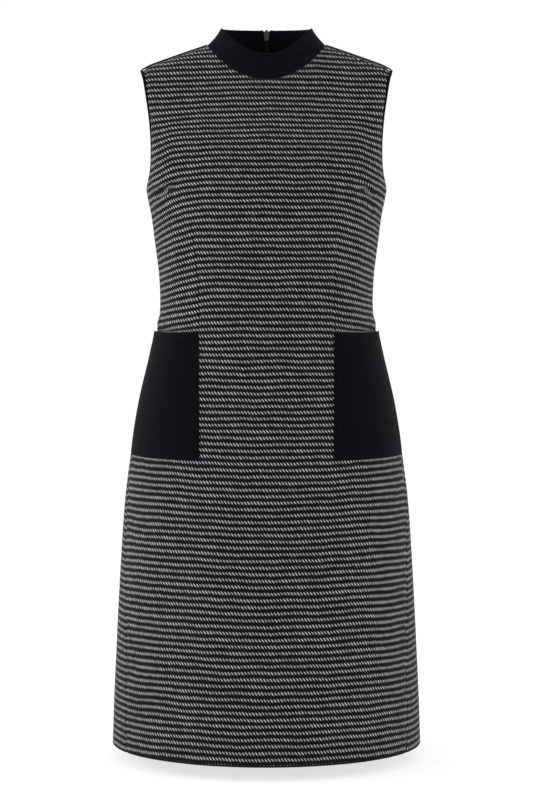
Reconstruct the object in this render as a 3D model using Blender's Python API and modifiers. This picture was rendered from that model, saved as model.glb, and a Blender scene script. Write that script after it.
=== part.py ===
"""A sleeveless a-line dress in striped cloth, holding the form it has when it is worn.

Metres, +Z up. The front faces -Y. Left and right are the wearer's, so the left side is at +X.
The origin lies midway between the two high shoulder points, where the neck meets the shoulder seams.
Lengths in the tables and constants are millimetres and are turned into metres where a mesh is made.
"""

import math
from bisect import bisect_right

import bmesh
import bpy
from mathutils import Vector

MM = 0.001
COLLECTION = "a_line_dress"

# Cloth, seams and trims
CLOTH = 1.8
SEAM = 0.3
COLLAR_CLOTH = 2.0
POCKET_CLOTH = 1.6
BINDING_RADIUS = 1.5
TAPE_CLOTH = 0.9

# Shoulders, neck and underarm
HALF_NECK = 77.5
HALF_SHOULDER = 163.6
SHOULDER_RISE = 32.5
SHOULDER_ROUND = 15.0
SHOULDER_SLOPE = 0.369
FRONT_NECK_DROP = 47.0
BACK_NECK_DROP = 12.0
NECK_POWER = 2.2
UNDERARM = -190.5
HEM = -921.5
CHEST_OVAL = 2.3

# Rings from the underarm to the hem, as rounded ovals (2 is an ellipse, more is squarer).
# height, half width, depth to the front, depth to the back, turn of the side seam to the front (degrees), oval
RINGS = (
    (-190.5, 152.8, 135.0, 98.0, 0.0, 2.3),
    (-215.0, 151.2, 138.0, 97.0, 1.0, 2.3),
    (-254.0, 147.0, 134.0, 94.0, 3.0, 2.3),
    (-306.0, 141.0, 117.5, 89.0, 5.0, 2.3),
    (-335.0, 140.0, 112.0, 88.0, 5.5, 2.3),
    (-359.0, 141.6, 112.0, 91.0, 6.0, 2.3),
    (-373.5, 144.6, 114.0, 94.0, 6.0, 2.3),
    (-398.7, 151.6, 118.0, 101.0, 6.0, 2.3),
    (-438.5, 161.6, 125.0, 112.0, 6.0, 2.3),
    (-465.0, 167.8, 129.5, 118.0, 6.5, 2.27),
    (-505.0, 175.2, 136.0, 124.0, 7.5, 2.24),
    (-534.0, 179.4, 140.0, 126.5, 9.0, 2.21),
    (-598.0, 187.6, 148.0, 130.0, 13.0, 2.15),
    (-664.5, 192.5, 154.0, 134.0, 18.0, 2.1),
    (-731.5, 196.5, 157.5, 137.5, 22.0, 2.06),
    (-799.0, 200.0, 159.5, 140.0, 24.5, 2.03),
    (-866.0, 203.3, 160.5, 142.5, 26.0, 2.0),
    (-921.5, 205.2, 161.0, 144.0, 27.0, 2.0),
)

# The cloth stands out a little at the side just under the arm.
UNDERARM_FLARE = 4.2
FLARE_SPAN = 22.0
FLARE_POWER = 6

# The armhole's edge from the shoulder (0) to the underarm (1).
# way down, half width, reach to the front, reach to the back
ARMHOLE = (
    (0.0, HALF_SHOULDER, 4.0, -4.0),
    (0.2, 162.4, 19.0, 13.0),
    (0.35, 159.6, 30.0, 24.0),
    (0.5, 156.2, 38.0, 32.0),
    (0.707, 150.8, 47.0, 39.0),
    (0.812, 149.4, 49.5, 41.0),
    (0.87, 149.4, 48.5, 40.5),
    (0.922, 149.9, 44.0, 37.0),
    (0.96, 150.9, 34.5, 29.5),
    (0.985, 152.0, 21.0, 18.0),
    (0.995, 152.5, 12.3, 10.5),
    (1.0, 152.8, 0.0, 0.0),
)

# The centre line over the shoulders. way down, depth to the front, depth to the back
CENTRE = (
    (0.0, 4.0, -4.0),
    (0.2, 23.0, 29.0),
    (0.316, 35.0, 48.0),
    (0.377, 42.0, 58.0),
    (0.45, 51.0, 67.0),
    (0.557, 64.0, 78.0),
    (0.707, 88.0, 89.0),
    (0.856, 119.0, 96.5),
    (0.93, 129.0, 98.0),
    (1.0, 135.0, 98.0),
)

# The stand collar's top edge and the shape of its wall
TOP_HALF_WIDTH = 59.8
TOP_FRONT = 57.0
TOP_BACK = 52.0
TOP_SIDE_HEIGHT = 22.5
TOP_FRONT_DROP = 37.3
TOP_BACK_RISE = 1.1
COLLAR_HOLLOW = 1.6

# The notch between the collar's ends at the centre back. way up, half gap
NOTCH = (
    (0.0, 0.15),
    (0.5, 0.15),
    (0.7, 1.7),
    (0.86, 2.7),
    (0.95, 4.4),
    (1.0, 7.6),
)

# The hip pockets
POCKET_TOP = -373.5
POCKET_BOTTOM = -533.5
POCKET_INNER_TOP = 87.0
POCKET_INNER_BOTTOM = 85.7
POCKET_SEAM = 0.45
MOUTH_EASE_INNER = 0.6
MOUTH_EASE_OUTER = 2.4
MOUTH_EASE_DEPTH = 45.0

# The cloth that blouses over each pocket's mouth
BLOUSE_HEIGHT = -361.5
BLOUSE_HALF = 11.0
BLOUSE_RISE = 1.8
BLOUSE_RUN = 35.0

# The zip
ZIP_END = -520.0
TAPE_WIDTH = 11.0
TAPE_TOP = 0.66
TAPE_KEPT_BACK = 0.8
TAPE_CORNER = 1.2
SLIDER_FACE = 49.2
SLIDER_THICK = 2.6
LUG_THICK = 1.6
PULL_THICK = 0.9
PULL_AXIS_Y = 57.0
PULL_AXIS_Z = 17.0

# Half of the slider's shield, from its foot to its tip. distance across, height
SHIELD = ((2.2, 10.8), (2.8, 13.8), (3.8, 17.8), (3.8, 19.8), (2.4, 23.0), (0.9, 24.9), (0.0, 25.4))

# The lug that reaches back from the slider, and the eye through it. distance back, height
LUG = ((48.2, 14.0), (58.6, 14.0), (59.6, 15.0), (59.6, 19.0), (58.6, 20.0), (48.2, 20.0))
LUG_EYE = ((54.6, 15.2), (58.4, 15.2), (58.4, 18.8), (54.6, 18.8))

# Half of the pull tab, from its ring to its foot, and its eye. distance across, height above the hinge's axis
PULL = (
    (1.9, 0.5), (2.1, 0.0), (2.1, -5.4), (1.5, -7.5), (1.9, -12.0),
    (2.5, -16.0), (2.3, -18.0), (1.2, -19.5), (0.0, -20.0),
)
PULL_EYE = ((1.25, -0.5), (1.25, -5.0))

# The mesh's grid
NECK_STEPS = 5
SIDE_COLUMNS = 7
SEAM_STRIP = 0.012
NECK_EASE = 1.7
EDGE_LOOK = 0.97
UPPER_ROWS = (0.0, 0.03, 0.13, 0.27, 0.42, 0.57, 0.7, 0.81, 0.89, 0.945, 0.98, 1.0)
LOWER_ROWS = (
    -212.0, -236.0, -262.0, -288.0, -312.0, -334.0, -348.0, -355.0, -361.5, -368.0, -375.0, -392.0, -416.0,
    -444.0, -474.0, -505.0, -534.0, -566.0, -600.0, -640.0, -685.0, -735.0, -790.0, -855.0, HEM,
)
COLLAR_ROWS = (0.0, 0.25, 0.5, 0.7, 0.86, 0.95, 1.0)
POCKET_COLUMNS = 9
POCKET_ROWS = 9


def smooth(table, column, key):
    """A smooth line through one column of a table, with no swing past its values."""
    rows = sorted(table)
    keys = [row[0] for row in rows]
    values = [row[column] for row in rows]
    key = min(max(key, keys[0]), keys[-1])
    step = [(values[i + 1] - values[i]) / (keys[i + 1] - keys[i]) for i in range(len(keys) - 1)]

    def slope(i):
        if i == 0 or i == len(keys) - 1:
            return step[min(i, len(step) - 1)]
        before, after = step[i - 1], step[i]
        return 0.0 if before * after <= 0 else 2.0 * before * after / (before + after)

    i = min(bisect_right(keys, key) - 1, len(keys) - 2)
    width = keys[i + 1] - keys[i]
    t = (key - keys[i]) / width
    return (
        values[i] * (1 + 2 * t) * (1 - t) ** 2
        + values[i + 1] * t * t * (3 - 2 * t)
        + width * (slope(i) * t * (1 - t) ** 2 - slope(i + 1) * t * t * (1 - t))
    )


def across(angle, oval=CHEST_OVAL):
    return math.copysign(abs(math.sin(angle)) ** (2.0 / oval), angle)


def along(angle, oval=CHEST_OVAL):
    return max(math.cos(angle), 0.0) ** (2.0 / oval)


def angle_at(share, oval=CHEST_OVAL):
    """The angle at which a ring reaches this share of its half width."""
    return math.asin(min(share, 1.0) ** (oval / 2.0))


def flare(angle, height):
    """How far the cloth stands out sideways near the underarm."""
    bell = math.exp(-(((height - UNDERARM) / FLARE_SPAN) ** 2))
    return math.copysign(UNDERARM_FLARE * bell * abs(math.sin(angle)) ** FLARE_POWER, angle)


def shoulder_height(x):
    return SHOULDER_RISE - math.hypot(SHOULDER_ROUND, SHOULDER_SLOPE * x)


def neck_height(x, side):
    drop = FRONT_NECK_DROP if side < 0 else BACK_NECK_DROP
    return -drop * (1.0 - min(abs(x) / HALF_NECK, 1.0) ** NECK_POWER)


def upper_point(angle, down, side):
    """A point above the underarm. The angle runs from the centre to the side, down from shoulder to underarm."""
    edge = 2 if side < 0 else 3
    reach = smooth(ARMHOLE, edge, down)
    depth = smooth(CENTRE, edge - 1, down)
    x = smooth(ARMHOLE, 1, down) * across(angle)
    height = shoulder_height(x) * (1.0 - down * down) + UNDERARM * down * down
    return Vector((x + flare(angle, height), side * (reach + (depth - reach) * along(angle)), height))


def ring_point(angle, height, side):
    """A point on the ring at a height below the underarm, with the blousing above the pockets."""
    oval = smooth(RINGS, 5, height)
    x = smooth(RINGS, 1, height) * across(angle, oval) + flare(angle, height)
    depth = smooth(RINGS, 2 if side < 0 else 3, height)
    point = Vector((x, side * depth * along(angle, oval), height))
    near = abs(height - BLOUSE_HEIGHT) / BLOUSE_HALF
    if side < 0 and near < 1.0:
        swell = 0.5 + 0.5 * math.cos(math.pi * near)
        outward = min(max((abs(point.x) - POCKET_INNER_TOP) / BLOUSE_RUN, 0.0), 1.0)
        point += Vector((point.x, point.y, 0)).normalized() * BLOUSE_RISE * swell * outward
    return point


def seam_angle(height, side):
    turn = math.radians(smooth(RINGS, 4, height))
    return math.pi / 2 + side * turn


def lower_point(column, height, side):
    """A point below the underarm. The column runs from the centre (0) to the side seam (1 or -1)."""
    angle = column * seam_angle(height, side)
    if abs(angle) > math.pi / 2:
        return ring_point(math.copysign(math.pi - abs(angle), angle), height, -side)
    return ring_point(angle, height, side)


def neck_start(angle, side):
    """How far down the shoulder the neck's edge cuts this column."""
    if abs(HALF_SHOULDER * across(angle)) >= HALF_NECK - 1e-6:
        return 0.0
    low, high = 0.0, 1.0
    for _ in range(40):
        middle = 0.5 * (low + high)
        point = upper_point(angle, middle, side)
        if point.z > neck_height(point.x, side):
            low = middle
        else:
            high = middle
    return high


def eased_way(start, way):
    """From a column's start at the neck to the underarm, soon falling in line with its neighbours."""
    lifted = way**NECK_EASE + start**NECK_EASE * (1.0 - way**NECK_EASE)
    return lifted ** (1.0 / NECK_EASE)


def panel_columns():
    """Places of the columns from the centre (0) to the side (1), those under the neck at even turns round it."""
    inner = []
    for i in range(NECK_STEPS + 1):
        x = HALF_NECK * math.sin(math.pi / 2 * i / NECK_STEPS)
        inner.append(angle_at(x / HALF_SHOULDER) / (math.pi / 2))
    neck = inner[-1]
    outer = [neck + (1.0 - neck) * i / SIDE_COLUMNS for i in range(1, SIDE_COLUMNS)]
    return inner + outer + [1.0 - SEAM_STRIP, 1.0]


def panel_grid(columns, side):
    """Rows of points from the shoulder and neck down to the hem."""
    grid = []
    starts = [neck_start(column * math.pi / 2, side) for column in columns]
    for way in UPPER_ROWS:
        grid.append([
            upper_point(column * math.pi / 2, eased_way(start, way), side)
            for column, start in zip(columns, starts)
        ])
    for height in LOWER_ROWS:
        grid.append([lower_point(column, height, side) for column in columns])
    return grid


def part_seams(grid, neck_columns):
    """Draws a panel's shoulder and side edges in by half a seam's gap, but not its edge at the neck."""
    for row in grid:
        for edge, inner in ((0, 1), (-1, -2)):
            row[edge] += (row[inner] - row[edge]).normalized() * SEAM / 2
    for i, point in enumerate(grid[0]):
        if i not in neck_columns:
            gap = SEAM if abs(point.x) < HALF_NECK + 1.0 else SEAM / 2
            grid[0][i] = point + (grid[1][i] - point).normalized() * gap
    return grid


def fabric(name, colour, roughness, sheen):
    material = bpy.data.materials.new(name)
    material.use_nodes = True
    shader = material.node_tree.nodes["Principled BSDF"]
    shader.inputs["Base Color"].default_value = (*colour, 1.0)
    shader.inputs["Roughness"].default_value = roughness
    shader.inputs["Sheen Weight"].default_value = sheen
    material.diffuse_color = (*colour, 1.0)
    return material


def metal(name, colour, roughness):
    material = fabric(name, colour, roughness, 0.0)
    material.node_tree.nodes["Principled BSDF"].inputs["Metallic"].default_value = 0.6
    return material


def place(name, data, material, parent):
    item = bpy.data.objects.new(name, data)
    data.materials.append(material)
    bpy.data.collections[COLLECTION].objects.link(item)
    item.parent = parent
    return item


def sheet(name, grid, thickness, material, parent, inside):
    """Cloth from rows of points, its wall on the inside. The point called inside lies within the sheet's curve."""
    mesh = bpy.data.meshes.new(name)
    build = bmesh.new()
    rows = [[build.verts.new(point * MM) for point in row] for row in grid]
    for upper, lower in zip(rows, rows[1:]):
        for i in range(len(upper) - 1):
            build.faces.new((upper[i], lower[i], lower[i + 1], upper[i + 1]))
    build.faces.ensure_lookup_table()
    build.normal_update()
    middle = build.faces[len(build.faces) // 2]
    if middle.normal.dot(middle.calc_center_median() - inside * MM) < 0:
        bmesh.ops.reverse_faces(build, faces=build.faces)
    build.to_mesh(mesh)
    build.free()
    mesh.shade_smooth()
    item = place(name, mesh, material, parent)
    wall = item.modifiers.new("wall", "SOLIDIFY")
    wall.thickness = thickness * MM
    wall.offset = -1.0
    return item


def front_panel(material, parent):
    half = panel_columns()
    columns = [-column for column in reversed(half[1:])] + half
    middle = len(half) - 1
    neck = range(middle - NECK_STEPS + 1, middle + NECK_STEPS)
    grid = part_seams(panel_grid(columns, -1), neck)
    return sheet("front", grid, CLOTH, material, parent, Vector((0, 0, -400)))


def back_panel(name, hand, material, parent):
    """One half of the back. The hand is 1 on the wearer's left and -1 on the right."""
    columns = [hand * column for column in panel_columns()]
    grid = part_seams(panel_grid(columns, 1), range(NECK_STEPS))
    return sheet(name, grid, CLOTH, material, parent, Vector((0, 0, -400)))


def neck_edge():
    """The neck's edge on the wearer's left, from the centre front over the shoulder to the centre back."""
    angles = [column * math.pi / 2 for column in panel_columns()[: NECK_STEPS + 1]]
    front = [upper_point(angle, neck_start(angle, -1), -1) for angle in angles]
    back = [upper_point(angle, neck_start(angle, 1), 1) for angle in reversed(angles[:-1])]
    return front + back


def collar_top(turn):
    """The collar's top edge. The turn runs from the front (0) to the centre back (pi)."""
    facing = math.cos(turn)
    depth = TOP_FRONT if facing > 0 else TOP_BACK
    rise = -TOP_FRONT_DROP if facing > 0 else TOP_BACK_RISE
    return Vector((TOP_HALF_WIDTH * math.sin(turn), -depth * facing, TOP_SIDE_HEIGHT + rise * facing * facing))


def collar_half():
    """The collar's rows on the wearer's left, from seam to top, each from centre front to centre back."""
    base = neck_edge()
    rows = []
    for way in COLLAR_ROWS:
        row = []
        for i, foot in enumerate(base):
            turn = math.pi * i / (len(base) - 1)
            point = foot.lerp(collar_top(turn), way)
            hollow = COLLAR_HOLLOW * 4.0 * way * (1.0 - way)
            row.append(point - Vector((math.sin(turn), -math.cos(turn), 0)) * hollow)
        share = smooth(NOTCH, 1, way) / row[-2].x
        row[-1] = row[-1].lerp(row[-2], share)
        rows.append(row)
    for foot, above in zip(rows[0], rows[1]):
        foot += (above - foot).normalized() * SEAM * 1.5
    return rows


def collar(material, parent):
    grid = []
    for half in collar_half():
        other = [Vector((-point.x, point.y, point.z)) for point in reversed(half[1:])]
        grid.append(other + half)
    return sheet("collar", grid, COLLAR_CLOTH, material, parent, Vector((0, 0, 0)))


def outward_at(angle, height, side):
    """The direction straight out of the cloth on a ring."""
    step = 0.01
    round_way = ring_point(angle + step, height, side) - ring_point(angle - step, height, side)
    down_way = ring_point(angle, height - 4.0, side) - ring_point(angle, height + 4.0, side)
    normal = round_way.cross(down_way).normalized()
    centre = Vector((0, 0, height))
    return normal if normal.dot(ring_point(angle, height, side) - centre) > 0 else -normal


def pocket(name, hand, material, parent):
    """A patch on the front, from near the centre to the side seam, its points moved out of the front's."""
    grid = []
    for i in range(POCKET_ROWS + 1):
        share = i / POCKET_ROWS
        height = POCKET_TOP + (POCKET_BOTTOM - POCKET_TOP) * share
        inner_x = POCKET_INNER_TOP + (POCKET_INNER_BOTTOM - POCKET_INNER_TOP) * share
        inner = angle_at(inner_x / smooth(RINGS, 1, height), smooth(RINGS, 5, height))
        outer = seam_angle(height, -1) - 0.004
        opened = max(1.0 - (POCKET_TOP - height) / MOUTH_EASE_DEPTH, 0.0) ** 2
        row = []
        for j in range(POCKET_COLUMNS + 1):
            way = j / POCKET_COLUMNS
            angle = hand * (inner + (outer - inner) * way)
            ease = opened * (MOUTH_EASE_INNER + (MOUTH_EASE_OUTER - MOUTH_EASE_INNER) * way)
            out = POCKET_SEAM + POCKET_CLOTH + ease
            row.append(ring_point(angle, height, -1) + outward_at(angle, height, -1) * out)
        grid.append(row)
    return sheet(name, grid, POCKET_CLOTH, material, parent, Vector((0, 0, -400)))


def armhole_path(hand):
    """Points round an armhole, just clear of the cloth's edge and halfway through its thickness."""
    ways = UPPER_ROWS[2:-1]
    stops = [(0.0, -1)] + [(way, -1) for way in ways] + [(1.0, -1)] + [(way, 1) for way in reversed(ways)]
    edge = [upper_point(hand * math.pi / 2, way, side) for way, side in stops]
    path = []
    for i, (way, side) in enumerate(stops):
        tangent = (edge[(i + 1) % len(edge)] - edge[i - 1]).normalized()
        over = edge[i] - upper_point(hand * math.pi / 2 * EDGE_LOOK, way, side)
        if way == 1.0:
            over = Vector((0, 0, 1))
        clear = (over - tangent * over.dot(tangent)).normalized()
        normal = tangent.cross(clear)
        if normal.dot(Vector((hand, 0, 0.5))) < 0:
            normal.negate()
        apart = SEAM * (1.5 + 3.5 * max(1.0 - way / 0.3, 0.0))
        path.append(edge[i] + clear * (BINDING_RADIUS + apart) - normal * CLOTH / 2)
    return path


def armhole_binding(name, hand, material, parent):
    """The narrow folded edging round an armhole, as a closed tube along the cloth's edge."""
    path = armhole_path(hand)
    curve = bpy.data.curves.new(name, "CURVE")
    curve.dimensions = "3D"
    curve.bevel_depth = BINDING_RADIUS * MM
    curve.bevel_resolution = 2
    line = curve.splines.new("POLY")
    line.points.add(len(path) - 1)
    for spot, point in zip(line.points, path):
        spot.co = (*(point * MM), 1.0)
    line.use_cyclic_u = True
    return place(name, curve, material, parent)


def zip_tape(name, hand, material, parent):
    """Half of the zip's tape, inside the centre back from the collar down, along the cloth it is sewn to."""
    collar_rows = [
        (row[-1], row[-2], COLLAR_CLOTH) for row, way in zip(collar_half(), COLLAR_ROWS) if way < TAPE_TOP
    ]
    panel = panel_grid(panel_columns()[:2], 1)
    panel_rows = [(row[0], row[1], CLOTH) for row in panel if row[0].z > ZIP_END]
    corner = (panel_rows[0][0], panel_rows[0][1], CLOTH + TAPE_CORNER)
    lines = list(reversed(collar_rows[1:])) + [corner] + panel_rows[2:]
    grid = []
    for i, (centre, beside, cloth) in enumerate(lines):
        above, below = lines[max(i - 1, 0)][0], lines[min(i + 1, len(lines) - 1)][0]
        normal = (beside - centre).cross(below - above).normalized()
        if normal.y < 0:
            normal.negate()
        row = []
        for x in (TAPE_KEPT_BACK, TAPE_WIDTH):
            point = centre.lerp(beside, (x - centre.x) / (beside.x - centre.x)) - normal * (cloth + SEAM)
            row.append(Vector((hand * point.x, point.y, point.z)))
        grid.append(row)
    return sheet(name, grid, TAPE_CLOTH, material, parent, Vector((0, -60, -300)))


def flat_outline(name, outlines, half_thickness):
    """A flat plate from closed outlines, the later ones being holes in the first."""
    curve = bpy.data.curves.new(name, "CURVE")
    curve.dimensions = "2D"
    curve.fill_mode = "BOTH"
    curve.extrude = half_thickness * MM
    for outline in outlines:
        line = curve.splines.new("POLY")
        line.points.add(len(outline) - 1)
        for spot, (x, y) in zip(line.points, outline):
            spot.co = (x * MM, y * MM, 0.0, 1.0)
        line.use_cyclic_u = True
    return curve


def solid_mesh(item):
    """Turns a curve object into a welded mesh object that Booleans can use."""
    bpy.context.view_layer.update()
    graph = bpy.context.evaluated_depsgraph_get()
    mesh = bpy.data.meshes.new_from_object(item.evaluated_get(graph))
    build = bmesh.new()
    build.from_mesh(mesh)
    bmesh.ops.remove_doubles(build, verts=build.verts, dist=1e-6)
    bmesh.ops.recalc_face_normals(build, faces=build.faces)
    build.to_mesh(mesh)
    build.free()
    name = item.name
    made = bpy.data.objects.new(name + "_solid", mesh)
    made.matrix_world = item.matrix_world
    bpy.data.collections[COLLECTION].objects.link(made)
    bpy.data.objects.remove(item)
    made.name = name
    return made


def mirrored(half):
    """A closed outline from its right half, whose last point may lie on the middle line."""
    return list(half) + [(-x, y) for x, y in reversed(half) if x > 0]


def zip_slider(material, parent):
    """The slider's body inside the neck, with the lug that reaches out through the notch for the pull."""
    plate = flat_outline("zip_slider", [mirrored(SHIELD)], SLIDER_THICK / 2)
    body = place("zip_slider", plate, material, parent)
    body.location = Vector((0, SLIDER_FACE - SLIDER_THICK / 2, 0)) * MM
    body.rotation_euler = (math.pi / 2, 0, 0)
    body = solid_mesh(body)

    arm = place("zip_lug", flat_outline("zip_lug", [LUG, LUG_EYE], LUG_THICK / 2), material, parent)
    arm.rotation_euler = (math.pi / 2, 0, math.pi / 2)
    arm = solid_mesh(arm)

    union = body.modifiers.new("lug", "BOOLEAN")
    union.operation = "UNION"
    union.object = arm
    arm.hide_render = True
    arm.display_type = "WIRE"
    bpy.data.collections[COLLECTION].objects.unlink(arm)
    bpy.data.collections["cutters"].objects.link(arm)
    body.parent = parent


def zip_pull(material, parent):
    """The pull tab, hanging from the lug on its own axis."""
    hinge = bpy.data.objects.new("pull_axis", None)
    hinge.location = Vector((0, PULL_AXIS_Y, PULL_AXIS_Z)) * MM
    hinge.parent = parent
    bpy.data.collections[COLLECTION].objects.link(hinge)
    plate = flat_outline("zip_pull", [mirrored(PULL), mirrored(PULL_EYE)], PULL_THICK / 2)
    tab = place("zip_pull", plate, material, hinge)
    tab.rotation_euler = (math.pi / 2, 0, 0)
    tab = solid_mesh(tab)
    world = tab.matrix_world.copy()
    tab.parent = hinge
    tab.matrix_parent_inverse = hinge.matrix_world.inverted()
    tab.matrix_world = world


def main():
    for item in list(bpy.data.objects):
        bpy.data.objects.remove(item)
    for name in (COLLECTION, "cutters"):
        bpy.context.scene.collection.children.link(bpy.data.collections.new(name))

    striped = fabric("striped_cloth", (0.045, 0.046, 0.05), 0.85, 0.3)
    plain = fabric("plain_navy_cloth", (0.008, 0.008, 0.011), 0.8, 0.3)
    edging = fabric("edging", (0.006, 0.006, 0.008), 0.7, 0.2)
    tape = fabric("zip_tape", (0.008, 0.008, 0.01), 0.8, 0.1)
    enamel = metal("dark_enamelled_metal", (0.03, 0.03, 0.033), 0.4)

    dress = bpy.data.objects.new("dress", None)
    bpy.data.collections[COLLECTION].objects.link(dress)

    front_panel(striped, dress)
    collar(plain, dress)
    for side, hand in (("left", 1), ("right", -1)):
        back_panel(f"back_{side}", hand, striped, dress)
        pocket(f"pocket_{side}", hand, plain, dress)
        armhole_binding(f"armhole_binding_{side}", hand, edging, dress)
        zip_tape(f"zip_tape_{side}", hand, tape, dress)
    zip_slider(enamel, dress)
    zip_pull(enamel, dress)


main()
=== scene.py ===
"""Looks of the a-line dress: its cloth, collar, pockets, armhole bindings and zip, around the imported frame.

Metres, +Z up, front to -Y, the wearer's left at +X. Sizes in the tables are millimetres.
"""

import math

import bmesh
import bpy
import numpy as np
from bpy.props import FloatProperty, FloatVectorProperty, PointerProperty
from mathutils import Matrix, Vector


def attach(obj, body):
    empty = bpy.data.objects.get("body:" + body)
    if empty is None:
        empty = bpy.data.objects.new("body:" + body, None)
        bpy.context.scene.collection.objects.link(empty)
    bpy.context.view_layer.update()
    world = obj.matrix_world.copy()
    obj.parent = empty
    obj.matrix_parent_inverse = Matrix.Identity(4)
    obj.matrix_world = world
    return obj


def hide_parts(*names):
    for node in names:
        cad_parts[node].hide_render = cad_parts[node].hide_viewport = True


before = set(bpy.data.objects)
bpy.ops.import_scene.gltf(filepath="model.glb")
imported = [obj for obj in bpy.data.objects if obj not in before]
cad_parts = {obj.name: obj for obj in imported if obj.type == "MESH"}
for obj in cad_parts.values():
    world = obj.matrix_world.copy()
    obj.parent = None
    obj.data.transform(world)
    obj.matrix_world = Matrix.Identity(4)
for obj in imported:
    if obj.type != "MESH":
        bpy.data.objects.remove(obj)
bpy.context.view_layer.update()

bl_info = {
    "name": "A-line dress looks",
    "version": (1, 0, 0),
    "blender": (4, 5, 0),
    "location": "3D View > Sidebar > Dress",
    "description": "Builds the visible cloth, trims and stage of the a-line dress",
    "category": "Object",
}

MM = 0.001

# The form, as in the part's source. All lengths in millimetres.
HALF_NECK = 77.5
HALF_SHOULDER = 163.6
SHOULDER_RISE = 32.5
SHOULDER_ROUND = 15.0
SHOULDER_SLOPE = 0.369
FRONT_NECK_DROP = 47.0
BACK_NECK_DROP = 12.0
NECK_POWER = 2.2
UNDERARM = -190.5
HEM = -921.5
CHEST_OVAL = 2.3

# Level rings from the underarm to the hem: height, half width, depth to the front, depth to the back, turn of
# the side seam to the front in degrees, and oval (2 is an ellipse, more is squarer)
RINGS = (
    (-190.5, 152.8, 135.0, 98.0, 0.0, 2.3),
    (-215.0, 151.2, 138.0, 97.0, 1.0, 2.3),
    (-254.0, 147.0, 134.0, 94.0, 3.0, 2.3),
    (-306.0, 141.0, 117.5, 89.0, 5.0, 2.3),
    (-335.0, 140.0, 112.0, 88.0, 5.5, 2.3),
    (-359.0, 141.6, 112.0, 91.0, 6.0, 2.3),
    (-373.5, 144.6, 114.0, 94.0, 6.0, 2.3),
    (-398.7, 151.6, 118.0, 101.0, 6.0, 2.3),
    (-438.5, 161.6, 125.0, 112.0, 6.0, 2.3),
    (-465.0, 167.8, 129.5, 118.0, 6.5, 2.27),
    (-505.0, 175.2, 136.0, 124.0, 7.5, 2.24),
    (-534.0, 179.4, 140.0, 126.5, 9.0, 2.21),
    (-598.0, 187.6, 148.0, 130.0, 13.0, 2.15),
    (-664.5, 192.5, 154.0, 134.0, 18.0, 2.1),
    (-731.5, 196.5, 157.5, 137.5, 22.0, 2.06),
    (-799.0, 200.0, 159.5, 140.0, 24.5, 2.03),
    (-866.0, 203.3, 160.5, 142.5, 26.0, 2.0),
    (-921.5, 205.2, 161.0, 144.0, 27.0, 2.0),
)
UNDERARM_FLARE = 4.2
FLARE_SPAN = 22.0
FLARE_POWER = 6

# The armhole's edge: way down, half width, reach to the front, reach to the back
ARMHOLE = (
    (0.0, HALF_SHOULDER, 4.0, -4.0),
    (0.2, 162.4, 19.0, 13.0),
    (0.35, 159.6, 30.0, 24.0),
    (0.5, 156.2, 38.0, 32.0),
    (0.707, 150.8, 47.0, 39.0),
    (0.812, 149.4, 49.5, 41.0),
    (0.87, 149.4, 48.5, 40.5),
    (0.922, 149.9, 44.0, 37.0),
    (0.96, 150.9, 34.5, 29.5),
    (0.985, 152.0, 21.0, 18.0),
    (0.995, 152.5, 12.3, 10.5),
    (1.0, 152.8, 0.0, 0.0),
)

# The centre line over the shoulders: way down, depth to the front, depth to the back
CENTRE = (
    (0.0, 4.0, -4.0),
    (0.2, 23.0, 29.0),
    (0.316, 35.0, 48.0),
    (0.377, 42.0, 58.0),
    (0.45, 51.0, 67.0),
    (0.557, 64.0, 78.0),
    (0.707, 88.0, 89.0),
    (0.856, 119.0, 96.5),
    (0.93, 129.0, 98.0),
    (1.0, 135.0, 98.0),
)
NECK_EASE = 1.7

# Points inside the body, the neck, the hips, the back and the left shoulder. Outward is away from them.
BODY_MIDDLE = np.array((0.0, 0.0, -400.0))
NECK_MIDDLE = np.array((0.0, 0.0, 0.0))
HIP_MIDDLE = np.array((0.0, 0.0, -450.0))
BACK_MIDDLE = np.array((0.0, -60.0, -300.0))
SHOULDER_MIDDLE = np.array((120.0, 0.0, -60.0))

# The collar
TOP_HALF_WIDTH = 59.8
TOP_FRONT = 57.0
TOP_BACK = 52.0
TOP_SIDE_HEIGHT = 22.5
TOP_FRONT_DROP = 37.3
TOP_BACK_RISE = 1.1
COLLAR_HOLLOW = 1.6
COLLAR_CLOTH = 2.0
COLLAR_ROWS = 22

# way up, half gap between the collar's ends
NOTCH = ((0.0, 0.15), (0.5, 0.15), (0.7, 1.7), (0.86, 2.7), (0.95, 4.4), (1.0, 7.6))

# The hip pockets, and the cloth that blouses over them
POCKET_TOP = -373.5
POCKET_BOTTOM = -533.5
POCKET_INNER_TOP = 87.0
POCKET_INNER_BOTTOM = 85.7
POCKET_CLOTH = 1.6
POCKET_SEAM = 0.2
MOUTH_EASE_INNER = 0.6
MOUTH_EASE_OUTER = 2.4
MOUTH_EASE_DEPTH = 45.0
BLOUSE_HEIGHT = -361.5
BLOUSE_HALF = 11.0
BLOUSE_RISE = 1.8
BLOUSE_RUN = 35.0

# The pockets' fine grid and finish: shares of the way down and over, then the turned edge, its stitching and
# the soft swell between them
POCKET_DOWN = np.concatenate(
    (np.linspace(0.0, 0.05, 7), np.linspace(0.07, 0.96, 52), (0.975, 0.985, 0.993, 1.0))
)
POCKET_OVER = np.concatenate(
    ((0.0, 0.006, 0.014, 0.026), np.linspace(0.045, 0.955, 52), (0.974, 0.986, 0.994, 1.0))
)
POCKET_SIDE_GAP = 0.004
POCKET_WIDTH = 130.0
POCKET_LENGTH = 160.0
POCKET_EDGE_DROP = 0.7
POCKET_EDGE_SPAN = 1.6
POCKET_STITCH_DROP = 0.35
POCKET_STITCH_INSET = 2.2
POCKET_STITCH_HALF = 0.9
POCKET_SWELL = 0.9
POCKET_SHELL = POCKET_CLOTH - 0.4

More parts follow.
